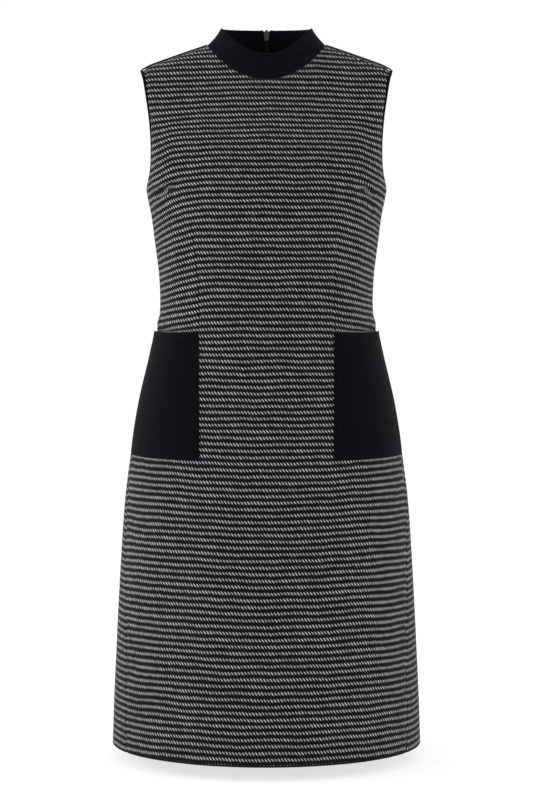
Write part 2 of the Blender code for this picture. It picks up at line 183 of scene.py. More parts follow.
# The zip
ZIP_END = -520.0
TAPE_WIDTH = 11.0
TAPE_TOP = 0.66
TAPE_KEPT_BACK = 0.8
TAPE_DEPTH = 2.1
TAPE_CLOTH = 0.9
TAPE_FOOT = 0.08
TAPE_CLEAR = 0.3
TAPE_REACH = 0.09
TAPE_COLUMNS = 12
TAPE_LINES = 7
TAPE_SEWN_LINE = 4
TAPE_FIRST_ROW = 2
TEETH_DEPTH = 0.45
TEETH_ASIDE = 0.75
TAPE_STITCH_STAND = 0.05
TAPE_EDGE_GAP = 0.3

# The armholes' edgings: a flat oval section round the cloth's edge, and its line of stitches
ARMHOLE_STEPS = 500
ARMHOLE_POINTS = 240
EDGE_LOOK = 0.97
UNDERARM_TURN = (0.93, 0.995)
BINDING_SIDES = 16
BINDING_FULLNESS = 0.75
BINDING_OVERHANG = 1.7
BINDING_DEPTH = 0.8
BINDING_STAND = 1.3
BINDING_WRAP = 2.2
STITCH_INSET = 1.0
STITCH_STAND = 0.3

# Stitches and teeth, in metres, but for a stitch's share of its pitch
STITCH_SHARE = 0.7
EDGING_STITCH_RADIUS = 0.00017
TAPE_STITCH_RADIUS = 0.00018
TOOTH_LENGTH = 0.0033
TOOTH_RADIUS = 0.0005
METAL_ROUNDING = 0.0002

# How far a woven row hangs below its height at the centre front: that height, then the drop at each share of
# the way to the side seam
DROP_SHARES = (0.0, 0.3, 0.39, 0.47, 0.57, 0.7, 0.85, 1.0)
DROPS = (
    (-921.5, 0.0, 0.0, 0.0, 0.3, 0.8, 1.6, 2.7, 3.7),
    (-835.0, 0.0, 0.0, 0.0, 0.3, 0.8, 1.6, 2.7, 3.7),
    (-760.0, 0.0, -0.3, -0.3, 0.0, 0.4, 1.4, 2.3, 3.0),
    (-645.0, 0.0, -1.0, -1.6, -1.8, -1.5, 0.0, 0.9, 1.8),
    (-537.0, 0.0, -0.5, -1.2, -1.8, -1.8, -1.8, -1.8, -1.8),
    (-457.0, 0.0, 0.0, 0.0, 0.0, 0.0, 0.0, 0.0, 0.0),
    (-383.0, 0.0, 0.0, 0.4, 0.8, 1.2, 1.6, 2.0, 2.4),
    (-370.0, 0.0, 0.0, 0.6, 1.8, 2.4, 2.8, 3.0, 3.0),
    (-362.0, 0.0, 0.0, 1.2, 4.0, 6.4, 9.4, 12.6, 15.0),
    (-329.0, 0.0, 0.0, 1.8, 5.0, 7.9, 10.8, 14.0, 16.0),
    (-303.0, 0.0, 0.0, 0.6, 3.4, 7.0, 12.0, 16.2, 18.5),
    (-254.0, 0.0, 0.0, 0.0, 3.7, 7.3, 12.8, 17.9, 21.0),
    (-203.0, 0.0, 0.8, 2.4, 4.2, 9.5, 17.5, 24.0, 27.0),
    (-154.0, 0.0, 0.4, 1.5, 2.3, 4.7, 12.5, 19.0, 22.0),
    (-75.0, 0.0, 1.5, 2.2, 2.6, 3.0, 3.0, 3.0, 3.0),
    (0.0, 0.0, 1.0, 1.5, 1.8, 2.0, 2.0, 2.0, 2.0),
)
BACK_DROP_SHARE = 0.3
DROP_ROUNDS = 4

# Where the first row lies at the neck, and the most cloth that a step down the shoulder's top may take
FIRST_ROW = -1.0
LEVEL_PITCH = 1.35

# How much the cloth is drawn out or eased in along its length: height, stretch
STRETCH = (
    (-921.5, 1.024),
    (-770.0, 1.02),
    (-700.0, 1.0),
    (-600.0, 0.99),
    (-440.0, 0.984),
    (-370.0, 1.0),
    (-330.0, 1.012),
    (-235.0, 1.012),
    (-200.0, 0.94),
    (-170.0, 0.945),
    (-140.0, 0.972),
    (-90.0, 1.01),
    (0.0, 1.02),
)

# The fine grid of a panel
NECK_STEPS = 18
SIDE_COLUMNS = 48
UPPER_STEPS = 72
ROW_STEP = 4.0
FINE_ROW_STEP = 2.0
FINE_TO = -212.0
BLOUSE_FROM = -350.0
BLOUSE_TO = -386.0
DART_COLUMN = 0.41
DART_OFFSETS = (-0.012, -0.006, -0.0025, 0.0, 0.0025, 0.006, 0.012)
EDGE_COLUMNS = (0.982, 0.988, 0.993, 0.997, 1.0)
HEM_TURN = 1.25
HEM_TURN_STEPS = 6
HEM_DEPTH = 32.0
# The height above the hem round which the painted shade along the hem's fold fades out
HEM_LINE = 3.4
HEM_SLOPE_ROWS = 9
CUT_EDGE_STEPS = 4

# Soft folds: x and height of one end, x and height of the other, half width, and how far the fold stands out,
# or in where it is negative
FRONT_FOLDS = (
    (-147.0, -201.5, -112.0, -178.0, 4.6, -6.4),
    (-143.0, -190.0, -125.0, -177.0, 4.6, 1.8),
    (-146.0, -208.0, -124.0, -195.0, 5.0, 1.8),
    (-148.0, -216.0, -118.0, -207.0, 5.5, -1.3),
    (147.0, -203.0, 114.0, -178.0, 4.4, -6.0),
    (142.0, -191.0, 127.0, -177.5, 4.6, 1.7),
    (145.0, -209.0, 125.0, -196.0, 5.0, 1.7),
    (148.0, -218.0, 120.0, -208.0, 5.5, -1.2),
    (-107.0, -212.0, -102.0, -330.0, 8.0, -1.3),
    (-120.0, -232.0, -112.0, -300.0, 9.0, 0.9),
    (106.0, -218.0, 103.0, -322.0, 8.0, -1.2),
    (121.0, -240.0, 114.0, -306.0, 9.0, 0.9),
    (-124.0, -336.0, -98.0, -352.0, 6.0, 0.8),
    (120.0, -338.0, 99.0, -350.0, 6.0, 0.7),
    (-62.0, -590.0, -70.0, -915.0, 30.0, 1.1),
    (-118.0, -610.0, -126.0, -915.0, 26.0, -1.0),
    (54.0, -610.0, 66.0, -915.0, 28.0, -0.9),
    (112.0, -585.0, 124.0, -915.0, 26.0, 1.2),
    (-12.0, -700.0, -4.0, -915.0, 22.0, -0.7),
)
BACK_FOLDS = (
    (138.0, -198.0, 122.0, -189.0, 4.0, -2.4),
    (139.0, -207.0, 120.0, -197.0, 6.0, 1.4),
    (-139.0, -199.0, -123.0, -189.0, 4.0, -2.2),
    (-138.0, -208.0, -121.0, -198.0, 6.0, 1.3),
    (18.0, -318.0, 92.0, -332.0, 9.0, -1.3),
    (14.0, -338.0, 100.0, -354.0, 10.0, 1.2),
    (-20.0, -322.0, -96.0, -336.0, 9.0, -1.2),
    (-16.0, -343.0, -104.0, -357.0, 10.0, 1.3),
    (66.0, -560.0, 78.0, -915.0, 28.0, 1.3),
    (116.0, -590.0, 128.0, -915.0, 24.0, -1.1),
    (-58.0, -575.0, -70.0, -915.0, 28.0, -1.0),
    (-110.0, -560.0, -124.0, -915.0, 26.0, 1.2),
)

# The waist darts, the crease over each pocket, and the rolls at the seams, armholes and shoulder tips
DART_DEPTH = 1.5
DART_HALF = 1.5
DART_TOP = -215.0
DART_FULL = -262.0
TUCK_DEPTH = 2.4
TUCK_HALF = 3.0
TUCK_HEIGHT = -370.0
SEAM_ROLL = 0.9
SEAM_ROLL_SPAN = 2.2
ARMHOLE_ROLL = 2.4
ARMHOLE_SPAN = 7.0
TIP_HEIGHT = -30.0
TIP_SPAN = 8.0
TIP_DROP = 2.0
ZIP_GROOVE = 1.7
# The thin ridge where the front and back meet on the shoulder: a real seam, its dark cloth painted shade.
FLANGE = 1.7
FLANGE_LEAST = 0.2

# The ridge of each shoulder seam: a real seam, its dark cloth a painted shade along the shoulder's edge
SEAM_RISE = 1.4
SEAM_HALF = 2.4
SEAM_AHEAD = 1.2
SEAM_CLOTH = 0.9
SEAM_INSET = (0.5, 0.8)
SEAM_POINTS = 40
SEAM_COLUMNS = 7


# ---------------------------------------------------------------- the form


def smooth(table, column, key):
    """A smooth line through one column of a table, at one key or an array, never past the table's values."""
    rows = np.array(sorted(table), float)
    keys, values = rows[:, 0], rows[:, column]
    step = np.diff(values) / np.diff(keys)
    before, after = step[:-1], step[1:]
    same = before * after > 0
    middle = np.where(same, 2.0 * before * after / np.where(same, before + after, 1.0), 0.0)
    slope = np.concatenate(([step[0]], middle, [step[-1]]))
    key = np.clip(key, keys[0], keys[-1])
    i = np.clip(np.searchsorted(keys, key, side="right") - 1, 0, len(keys) - 2)
    width = keys[i + 1] - keys[i]
    t = (key - keys[i]) / width
    return (
        values[i] * (1 + 2 * t) * (1 - t) ** 2
        + values[i + 1] * t * t * (3 - 2 * t)
        + width * (slope[i] * t * (1 - t) ** 2 - slope[i + 1] * t * t * (1 - t))
    )


def ramp(low, high, value):
    """0 below low, 1 above high, and smooth between them."""
    t = np.clip((value - low) / (high - low), 0.0, 1.0)
    return t * t * (3.0 - 2.0 * t)


def bell(value, width):
    """1 where the value is 0, and falling softly to 0 past the width."""
    return np.exp(-((value / width) ** 2))


def across(angle, oval=CHEST_OVAL):
    """The share of a ring's half width that is reached at an angle from its centre line."""
    return np.sign(angle) * np.abs(np.sin(angle)) ** (2.0 / oval)


def along(angle, oval=CHEST_OVAL):
    """The share of a ring's depth that is left at an angle from its centre line."""
    return np.maximum(np.cos(angle), 0.0) ** (2.0 / oval)


def angle_at(share, oval=CHEST_OVAL):
    """The angle at which a ring reaches this share of its half width."""
    return np.arcsin(np.minimum(share, 1.0) ** (oval / 2.0))


def flare(angle, height):
    """How far the cloth stands out sideways near the underarm."""
    near = bell(height - UNDERARM, FLARE_SPAN)
    return np.sign(angle) * UNDERARM_FLARE * near * np.abs(np.sin(angle)) ** FLARE_POWER


def shoulder_height(x):
    """Height of the shoulder's line, rounded over the neck."""
    return SHOULDER_RISE - np.hypot(SHOULDER_ROUND, SHOULDER_SLOPE * x)


def neck_height(x, side):
    """Height of the neck's edge, in front where the side is negative."""
    drop = FRONT_NECK_DROP if side < 0 else BACK_NECK_DROP
    return -drop * (1.0 - np.minimum(np.abs(x) / HALF_NECK, 1.0) ** NECK_POWER)


def upper_point(angle, down, side):
    """Points above the underarm. The angle is 0 at the centre, and the way down is 0 at the shoulder."""
    edge = 2 if side < 0 else 3
    reach = smooth(ARMHOLE, edge, down)
    depth = smooth(CENTRE, edge - 1, down)
    x = smooth(ARMHOLE, 1, down) * across(angle)
    height = shoulder_height(x) * (1.0 - down * down) + UNDERARM * down * down
    y = side * (reach + (depth - reach) * along(angle))
    return np.stack(np.broadcast_arrays(x + flare(angle, height), y, height), -1)


def ring_point(angle, height, side):
    """Points on the rings below the underarm, with the blousing above the pockets."""
    oval = smooth(RINGS, 5, height)
    x = smooth(RINGS, 1, height) * across(angle, oval) + flare(angle, height)
    depth = np.where(np.asarray(side) < 0, smooth(RINGS, 2, height), smooth(RINGS, 3, height))
    point = np.stack(np.broadcast_arrays(x, side * depth * along(angle, oval), height), -1)
    near = np.minimum(np.abs(height - BLOUSE_HEIGHT) / BLOUSE_HALF, 1.0)
    swell = np.where(np.asarray(side) < 0, 0.5 + 0.5 * np.cos(np.pi * near), 0.0)
    outward = np.clip((np.abs(x) - POCKET_INNER_TOP) / BLOUSE_RUN, 0.0, 1.0)
    flat = unit(point * (1.0, 1.0, 0.0))
    return point + flat * (BLOUSE_RISE * swell * outward)[..., None]


def lower_point(column, height, side):
    """Points below the underarm. The column runs from the centre (0) to the side seam (1 or -1)."""
    turn = np.radians(smooth(RINGS, 4, height))
    angle = column * (np.pi / 2 + side * turn)
    past = np.abs(angle) > np.pi / 2
    folded = np.where(past, np.sign(angle) * (np.pi - np.abs(angle)), angle)
    return ring_point(folded, height, np.where(past, -side, side))


def unit(vectors):
    """The vectors at length 1."""
    length = np.linalg.norm(vectors, axis=-1, keepdims=True)
    return vectors / np.maximum(length, 1e-9)


def neck_start(angle, side):
    """How far down the shoulder the neck's edge cuts each column."""
    low = np.zeros_like(angle)
    high = np.ones_like(angle)
    for _ in range(40):
        middle = 0.5 * (low + high)
        point = upper_point(angle, middle, side)
        above = point[..., 2] > neck_height(point[..., 0], side)
        low = np.where(above, middle, low)
        high = np.where(above, high, middle)
    inside = np.abs(HALF_SHOULDER * across(angle)) < HALF_NECK - 1e-6
    return np.where(inside, high, 0.0)


def eased_way(start, way):
    """From a column's start at the neck to the underarm, soon falling in line with its neighbours."""
    return (way**NECK_EASE + start**NECK_EASE * (1.0 - way**NECK_EASE)) ** (1.0 / NECK_EASE)


def running(steps, axis=0):
    """The sum of the steps so far along one axis, from 0."""
    start = np.zeros_like(np.take(steps, [0], axis))
    return np.concatenate((start, np.cumsum(steps, axis)), axis)


def arc_lengths(points, axis=0):
    """How far along a line, or along each line of a grid, its points lie."""
    return running(np.linalg.norm(np.diff(points, axis=axis), axis=-1), axis)


def surface_normals(grid, inside):
    """The outward direction at each point of a grid that curves round the point called inside."""
    down = np.gradient(grid, axis=0)
    over = np.gradient(grid, axis=1)
    normal = unit(np.cross(over, down))
    row, column = grid.shape[0] // 2, grid.shape[1] // 2
    if np.dot(normal[row, column], grid[row, column] - inside) < 0:
        normal = -normal
    return normal


def panel_columns():
    """Columns from the centre (0) to the side (1), closer together at the dart and the seam."""
    turns = np.linspace(0.0, np.pi / 2, NECK_STEPS + 1)
    inner = angle_at(HALF_NECK * np.sin(turns) / HALF_SHOULDER) / (np.pi / 2)
    outer = np.linspace(inner[-1], EDGE_COLUMNS[0], SIDE_COLUMNS)
    dart = DART_COLUMN + np.array(DART_OFFSETS)
    clear = outer[np.min(np.abs(outer[:, None] - dart[None, :]), axis=1) > DART_OFFSETS[-2]]
    return np.unique(np.concatenate((inner, clear, dart, EDGE_COLUMNS)))


def lower_heights():
    """Heights of the rows below the underarm, closer together at the underarm and over the pockets."""
    underarm = np.arange(UNDERARM - FINE_ROW_STEP, FINE_TO, -FINE_ROW_STEP)
    body = np.arange(FINE_TO, BLOUSE_FROM, -ROW_STEP)
    blouse = np.arange(BLOUSE_FROM, BLOUSE_TO, -FINE_ROW_STEP)
    skirt = np.linspace(BLOUSE_TO, HEM + HEM_TURN, int((BLOUSE_TO - HEM) / ROW_STEP))
    return np.concatenate((underarm, body, blouse, skirt))


def upper_ways():
    """Ways down from the shoulder to the underarm, at even steps of height."""
    return np.sqrt(np.linspace(0.0, 1.0, UPPER_STEPS))


def panel_grid(columns, side):
    """Points of a panel from the shoulder and neck down to the hem's fold, in millimetres."""
    angles = columns * np.pi / 2
    starts = neck_start(angles, side)
    way = eased_way(starts[None, :], upper_ways()[:, None])
    upper = upper_point(angles[None, :], way, side)
    lower = lower_point(columns[None, :], lower_heights()[:, None], side)
    return np.concatenate((upper, lower))


def centre_depth(side):
    """A table from height to the length of cloth down the centre line."""
    centre = np.array([0.0])
    line = panel_grid(centre, side)[:, 0]
    over = upper_point(0.0, np.linspace(0.0, 0.99 * neck_start(centre, side)[0], 30), side)
    whole = np.concatenate((over, line))
    steps = np.diff(arc_lengths(whole)) / smooth(STRETCH, 1, 0.5 * (whole[1:, 2] + whole[:-1, 2]))
    length = running(steps)
    length -= length[len(over)]
    return whole[::-1, 2], length[::-1]


def row_drop(column, height, side):
    """How far the woven rows hang below the level at each point."""
    levels = [row[0] for row in DROPS]
    share = np.abs(column)
    drop = np.zeros(np.broadcast(column, height).shape)
    at_share = [np.interp(share, DROP_SHARES, row[1:]) for row in DROPS]
    for i in range(len(levels) - 1):
        t = (height - levels[i]) / (levels[i + 1] - levels[i])
        inside = (t >= 0) & (t < 1)
        drop = np.where(inside, at_share[i] * (1 - t) + at_share[i + 1] * t, drop)
    drop = np.where(height >= levels[-1], at_share[-1], drop)
    return drop * (1.0 if side < 0 else BACK_DROP_SHARE)


def cloth_places(grid, columns, side):
    """Where each point lies on the flat cloth, across and down its woven rows, in millimetres."""
    heights, lengths = centre_depth(side)
    level = grid[..., 2].copy()
    for _ in range(DROP_ROUNDS):
        level = grid[..., 2] + row_drop(columns[None, :], level, side)
    down = np.interp(level, heights, lengths)
    normal = surface_normals(grid, BODY_MIDDLE)
    down[:UPPER_STEPS] -= shoulder_spare(grid, normal)
    over = running(level_steps(grid, normal, columns), 1)
    centre = int(np.argmin(np.abs(columns)))
    return np.stack((over - over[:, [centre]], down), -1)


def shoulder_spare(grid, normal):
    """The cloth length over the flat top of the shoulder that would only widen its rows."""
    climb = grid[:UPPER_STEPS] - grid[1 : UPPER_STEPS + 1]
    spare = np.linalg.norm(climb, axis=2) - LEVEL_PITCH * np.abs(climb[..., 2])
    spare = np.maximum(spare, 0.0) * ramp(0.5, 0.8, normal[:UPPER_STEPS, :, 2])
    return spare[::-1].cumsum(0)[::-1]


def level_steps(grid, normal, columns):
    """Steps across the cloth along the level, or at plain length where it faces up or to the side."""
    steps = np.diff(grid, axis=1)
    facing = 0.5 * (normal[:, 1:] + normal[:, :-1])
    level_way = unit(np.stack((facing[..., 1], -facing[..., 0], np.zeros(facing.shape[:2])), -1))
    upright = ramp(0.3, 0.6, np.abs(facing[..., 1]) + np.abs(columns[1:] + columns[:-1]) * 0.3)
    along_level = np.abs(np.sum(steps * level_way, axis=2))
    return along_level * upright + np.linalg.norm(steps, axis=2) * (1.0 - upright)


def fold_height(grid, folds):
    """How far the soft folds lift the cloth at each point."""
    x, z = grid[..., 0], grid[..., 2]
    lift = np.zeros(x.shape)
    for x0, z0, x1, z1, half, rise in folds:
        dx, dz = x1 - x0, z1 - z0
        length = math.hypot(dx, dz)
        t = ((x - x0) * dx + (z - z0) * dz) / length**2
        aside = ((x - x0) * dz - (z - z0) * dx) / length
        ends = ramp(-0.15, 0.3, t) * (1.0 - ramp(0.7, 1.15, t))
        lift += rise * ends * bell(aside, half)
    return lift


def dart_height(grid, columns):
    """The stitched groove of the two waist darts, from the bust to the pockets."""
    z = grid[..., 2]
    reach = ramp(-DART_TOP, -DART_FULL, -z) * (1.0 - ramp(-POCKET_TOP - 2.0, -POCKET_TOP + 6.0, -z))
    centre = int(np.argmin(np.abs(np.abs(columns) - DART_COLUMN)))
    aside = np.abs(grid[..., 0]) - np.abs(grid[:, [centre], 0])
    return -DART_DEPTH * reach * bell(aside, DART_HALF)


def tuck_height(grid):
    """The crease where the cloth blouses over each pocket's mouth."""
    x, z = grid[..., 0], grid[..., 2]
    outward = ramp(POCKET_INNER_TOP, POCKET_INNER_TOP + BLOUSE_RUN, np.abs(x))
    groove = bell(z - TUCK_HEIGHT, TUCK_HALF)
    return -TUCK_DEPTH * outward * groove * (grid[..., 1] < 0)


def hem_rows(grid, normal):
    """Rows that turn the hem in and up on the inside, from the panel's last row."""
    last, out = grid[-1], unit(normal[-1] * (1.0, 1.0, 0.0))
    rows = []
    for i in range(1, HEM_TURN_STEPS + 1):
        turn = math.pi * i / HEM_TURN_STEPS
        below = np.array((0, 0, HEM_TURN * math.sin(turn)))
        rows.append(last - out * HEM_TURN * (1 - math.cos(turn)) - below)
    slope = unit(grid[-HEM_SLOPE_ROWS] - grid[-1])
    for i in range(1, CUT_EDGE_STEPS + 1):
        rows.append(rows[HEM_TURN_STEPS - 1] + slope * HEM_DEPTH * i / CUT_EDGE_STEPS)
    return np.array(rows)


# ---------------------------------------------------------------- meshes


def shell(name, grid, normal, places, thickness, material):
    """A cloth piece with rounded edges, from its outer points, their normals and places on the cloth."""
    rows, columns = grid.shape[:2]
    index = np.arange(rows * columns).reshape(rows, columns)
    border = np.concatenate((index[0, :], index[1:, -1], index[-1, -2::-1], index[-2:0:-1, 0]))
    points = grid.reshape(-1, 3)
    normals = normal.reshape(-1, 3)
    flat = places.reshape(-1, 2)
    out = np.zeros_like(grid)
    out[0] += unit(grid[0] - grid[1])
    out[-1] += unit(grid[-1] - grid[-2])
    out[:, 0] += unit(grid[:, 0] - grid[:, 1])
    out[:, -1] += unit(grid[:, -1] - grid[:, -2])
    out = unit(out).reshape(-1, 3)[border]
    edge, lift = points[border], normals[border]
    out = unit(out - lift * np.sum(out * lift, axis=1, keepdims=True))
    half = thickness / 2
    rims = []
    for turn in (math.pi / 4, math.pi / 2, 3 * math.pi / 4):
        rims.append(edge - lift * half * (1 - math.cos(turn)) + out * half * math.sin(turn) * 0.8)
    verts = np.concatenate([points, points - normals * thickness] + rims)
    whole = np.concatenate([flat, flat] + [flat[border]] * 3)
    a, b = index[:-1, :-1].ravel(), index[:-1, 1:].ravel()
    c, d = index[1:, 1:].ravel(), index[1:, :-1].ravel()
    outer = np.stack((a, d, c, b), 1)
    inner = np.stack((a, b, c, d), 1) + rows * columns
    start = 2 * rows * columns
    count = len(border)
    loops = [border] + [start + i * count + np.arange(count) for i in range(3)] + [border + rows * columns]
    faces = [outer, inner]
    for upper, lower in zip(loops, loops[1:]):
        faces.append(np.stack((upper, np.roll(upper, -1), np.roll(lower, -1), lower), 1))
    return made_mesh(name, verts, np.concatenate(faces), whole, material)


def made_mesh(name, verts, faces, places, material):
    """An object from points and places in millimetres, with its faces turned to point out of it."""
    mesh = bpy.data.meshes.new(name)
    mesh.from_pydata((verts * MM).tolist(), [], faces.tolist())
    build = bmesh.new()
    build.from_mesh(mesh)
    bmesh.ops.recalc_face_normals(build, faces=build.faces)
    build.to_mesh(mesh)
    build.free()
    layer = mesh.uv_layers.new(name="cloth")
    corners = np.empty(len(mesh.loops), dtype=np.int64)
    mesh.loops.foreach_get("vertex_index", corners)
    layer.data.foreach_set("uv", (places[corners] * MM).astype(np.float32).ravel())
    mesh.shade_smooth()
    mesh.materials.append(material)
    return placed(name, mesh)


def placed(name, data):
    """A new object in the scene, at the origin."""
    item = bpy.data.objects.new(name, data)
    bpy.context.scene.collection.objects.link(item)
    return item


def settled(item):
    """The item with its modifiers made into one plain mesh."""
    bpy.context.view_layer.update()
    graph = bpy.context.evaluated_depsgraph_get()
    mesh = bpy.data.meshes.new_from_object(item.evaluated_get(graph))
    item.modifiers.clear()
    item.data = mesh
    return item


def seam_columns(grid, normal, hidden, edges):
    """Adds a narrow flange along each seam edge, turned in so that two panels meet without a gap."""
    for edge in edges:
        last, lift = grid[:, [edge]], normal[:, [edge]]
        turned = [last - lift * hidden[:, None, None] * share for share in (0.5, 1.0)]
        if edge == 0:
            grid = np.concatenate((turned[1], turned[0], grid), axis=1)
            normal = np.concatenate((lift, lift, normal), axis=1)
        else:
            grid = np.concatenate((grid, turned[0], turned[1]), axis=1)
            normal = np.concatenate((normal, lift, lift), axis=1)
    return grid, normal


def panel(name, columns, side, folds, edges, material, thickness):
    """A panel of the dress: its form, folds, seam rolls, turned-up hem and places on the flat cloth."""
    grid = panel_grid(columns, side)
    normal = surface_normals(grid, BODY_MIDDLE)
    places = cloth_places(grid, columns, side)
    lift = fold_height(grid, folds)
    if side < 0:
        lift = lift + dart_height(grid, columns) + tuck_height(grid)
    below = ramp(-UNDERARM, -UNDERARM + 8.0, -grid[..., 2])
    for edge in edges:
        apart = np.linalg.norm(grid - grid[:, [edge]], axis=2)
        roll = bell(apart, SEAM_ROLL_SPAN)
        if columns[edge] == 0.0:
            lift = lift - ZIP_GROOVE * roll
        else:
            lift = lift - SEAM_ROLL * roll * below
            lift = lift - ARMHOLE_ROLL * bell(apart, ARMHOLE_SPAN) * (1.0 - below)
    tip = bell(np.abs(grid[..., 0]) - HALF_SHOULDER, TIP_SPAN) * bell(grid[..., 2] - TIP_HEIGHT, TIP_SPAN)
    grid = grid + normal * lift[..., None]
    grid[..., 2] -= TIP_DROP * tip
    normal = surface_normals(grid, BODY_MIDDLE)
    hem = hem_rows(grid, normal)
    depth = arc_lengths(np.concatenate((grid[-1:], hem)))[1:]
    hem_places = np.stack((np.broadcast_to(places[-1, :, 0], depth.shape), places[-1, :, 1] + depth), -1)
    grid = np.concatenate((grid, hem))
    places = np.concatenate((places, hem_places))
    normal = surface_normals(grid, BODY_MIDDLE)
    hidden = FLANGE * ramp(-UNDERARM - 1.0, -UNDERARM + 6.0, -grid[:, 0, 2]) + FLANGE_LEAST
    if 0.0 in (columns[0], columns[-1]):
        hidden = np.full(len(grid), FLANGE)
    grid, normal = seam_columns(grid, normal, hidden, edges)
    for edge in edges:
        pair = np.repeat(places[:, [edge]], 2, axis=1)
        places = np.concatenate((pair, places) if edge == 0 else (places, pair), axis=1)
    shoulder = np.stack([grid[0] - normal[0] * FLANGE * share for share in (1.0, 0.5)])
    grid = np.concatenate((shoulder, grid))
    normal = np.concatenate((normal[:1], normal[:1], normal))
    places = np.concatenate((places[:1], places[:1], places))
    places[..., 1] += FIRST_ROW
    return shell(name, grid, normal, places, thickness, material)


def neck_edge():
    """The neck's edge on the wearer's left, from the centre front over the shoulder to the centre back."""
    turns = np.linspace(0.0, np.pi / 2, 2 * NECK_STEPS + 1)
    angles = angle_at(HALF_NECK * np.sin(turns) / HALF_SHOULDER)
    front = upper_point(angles, neck_start(angles, -1), -1)
    back = upper_point(angles, neck_start(angles, 1), 1)
    return np.concatenate((front, back[-2::-1]))


def collar_top(turn):
    """The collar's top edge. The turn runs from the front (0) to the centre back (pi)."""
    facing = np.cos(turn)
    depth = np.where(facing > 0, TOP_FRONT, TOP_BACK)
    rise = np.where(facing > 0, -TOP_FRONT_DROP, TOP_BACK_RISE)
    height = TOP_SIDE_HEIGHT + rise * facing * facing
    return np.stack((TOP_HALF_WIDTH * np.sin(turn), -depth * facing, height), -1)


def collar_half(ways):
    """The collar's rows on the wearer's left, from seam to top, each from centre front to centre back."""
    base = neck_edge()
    turn = np.linspace(0.0, np.pi, len(base))
    out = np.stack((np.sin(turn), -np.cos(turn), np.zeros_like(turn)), -1)
    top = collar_top(turn)
    rows = []
    for way in ways:
        row = base + (top - base) * way - out * COLLAR_HOLLOW * 4.0 * way * (1.0 - way)
        gap = float(smooth(NOTCH, 1, way))
        push = np.clip(1.0 - row[:, 0] / max(gap, 1e-6), 0.0, 1.0) * (row[:, 1] > 0)
        row[:, 0] += push * gap * 0.999
        rows.append(row)
    return np.array(rows)


# ---------------------------------------------------------------- materials


# How much paler each plain cloth is where it is worn, the tape's darker shade, and the colour of the teeth
COLLAR_WEAR = 1.5
POCKET_WEAR = 1.1
EDGING_WEAR = 1.6
TAPE_WEAR = 1.25
TAPE_SHADE = 0.8
TEETH_COLOUR = (0.007, 0.007, 0.008)


def opaque(colour, share=1.0):
    """A colour as a socket takes it, made darker or lighter by a share."""
    return (*[min(part * share, 1.0) for part in colour], 1.0)


class Weave:
    """A short way to write a material's nodes."""

    def __init__(self, name, colour, roughness, sheen, sheen_roughness=0.4, metallic=0.0, specular=0.015):
        self.material = bpy.data.materials.new(name)
        self.material.use_nodes = True
        self.tree = self.material.node_tree
        self.shader = self.tree.nodes["Principled BSDF"]
        finish = {
            "Base Color": opaque(colour),
            "Roughness": roughness,
            "Sheen Weight": sheen,
            "Sheen Roughness": sheen_roughness,
            "Metallic": metallic,
            "Specular IOR Level": specular,
        }
        for socket, value in finish.items():
            self.shader.inputs[socket].default_value = value
        self.material.diffuse_color = opaque(colour)

    def node(self, kind, **settings):
        """A new node with its settings."""
        made = self.tree.nodes.new(kind)
        for key, value in settings.items():
            setattr(made, key, value)
        return made

    def feed(self, socket, value):
        """Links an output to a socket, or sets the socket to a constant."""
        if isinstance(value, bpy.types.NodeSocket):
            self.tree.links.new(value, socket)
        else:
            socket.default_value = value

    def maths(self, operation, *values):
        """One step of arithmetic."""
        made = self.node("ShaderNodeMath", operation=operation)
        for socket, value in zip(made.inputs, values):
            self.feed(socket, value)
        return made.outputs[0]

    def step(self, low, high, value, down=False):
        """0 to 1 as the value passes from low to high, or 1 to 0 where down is set."""
        made = self.node("ShaderNodeMapRange", interpolation_type="SMOOTHSTEP")
        self.feed(made.inputs["Value"], value)
        self.feed(made.inputs["From Min"], low)
        self.feed(made.inputs["From Max"], high)
        made.inputs["To Min"].default_value = 1.0 if down else 0.0
        made.inputs["To Max"].default_value = 0.0 if down else 1.0
        return made.outputs["Result"]

    def mix(self, share, first, second):
        """A blend of two colours, on the Mix node's colour sockets."""
        made = self.node("ShaderNodeMix", data_type="RGBA")
        for socket, value in zip((0, 6, 7), (share, first, second)):
            self.feed(made.inputs[socket], value)
        return made.outputs[2]

    def place(self):
        """Across and down the cloth, in metres, from the piece's own map."""
        parts = self.parts(self.node("ShaderNodeUVMap", uv_map="cloth").outputs[0])
        return parts[0], parts[1]

    def spot(self):
        """The place in the object, in metres."""
        return self.node("ShaderNodeTexCoord").outputs["Object"]

    def parts(self, vector):
        """A vector's three parts."""
        made = self.node("ShaderNodeSeparateXYZ")
        self.feed(made.inputs[0], vector)
        return made.outputs

    def vector(self, x, y, z=0.0):
        """Three values as one vector."""
        made = self.node("ShaderNodeCombineXYZ")
        for socket, value in zip(made.inputs, (x, y, z)):
            self.feed(socket, value)
        return made.outputs[0]

    def noise(self, vector, scale, detail):
        """A soft, even unevenness from 0 to 1."""
        made = self.node("ShaderNodeTexNoise")
        self.feed(made.inputs["Vector"], vector)
        made.inputs["Scale"].default_value = scale
        made.inputs["Detail"].default_value = detail
        return made.outputs["Fac"]

    def chance(self, vector):
        """A fixed chance value for each whole vector."""
        made = self.node("ShaderNodeTexWhiteNoise", noise_dimensions="3D")
        self.feed(made.inputs["Vector"], vector)
        return made.outputs["Value"]

    def bump(self, height, depth, strength):
        """Fine relief, its depth in metres."""
        made = self.node("ShaderNodeBump")
        made.inputs["Strength"].default_value = strength
        made.inputs["Distance"].default_value = depth
        self.feed(made.inputs["Height"], height)
        self.feed(self.shader.inputs["Normal"], made.outputs["Normal"])
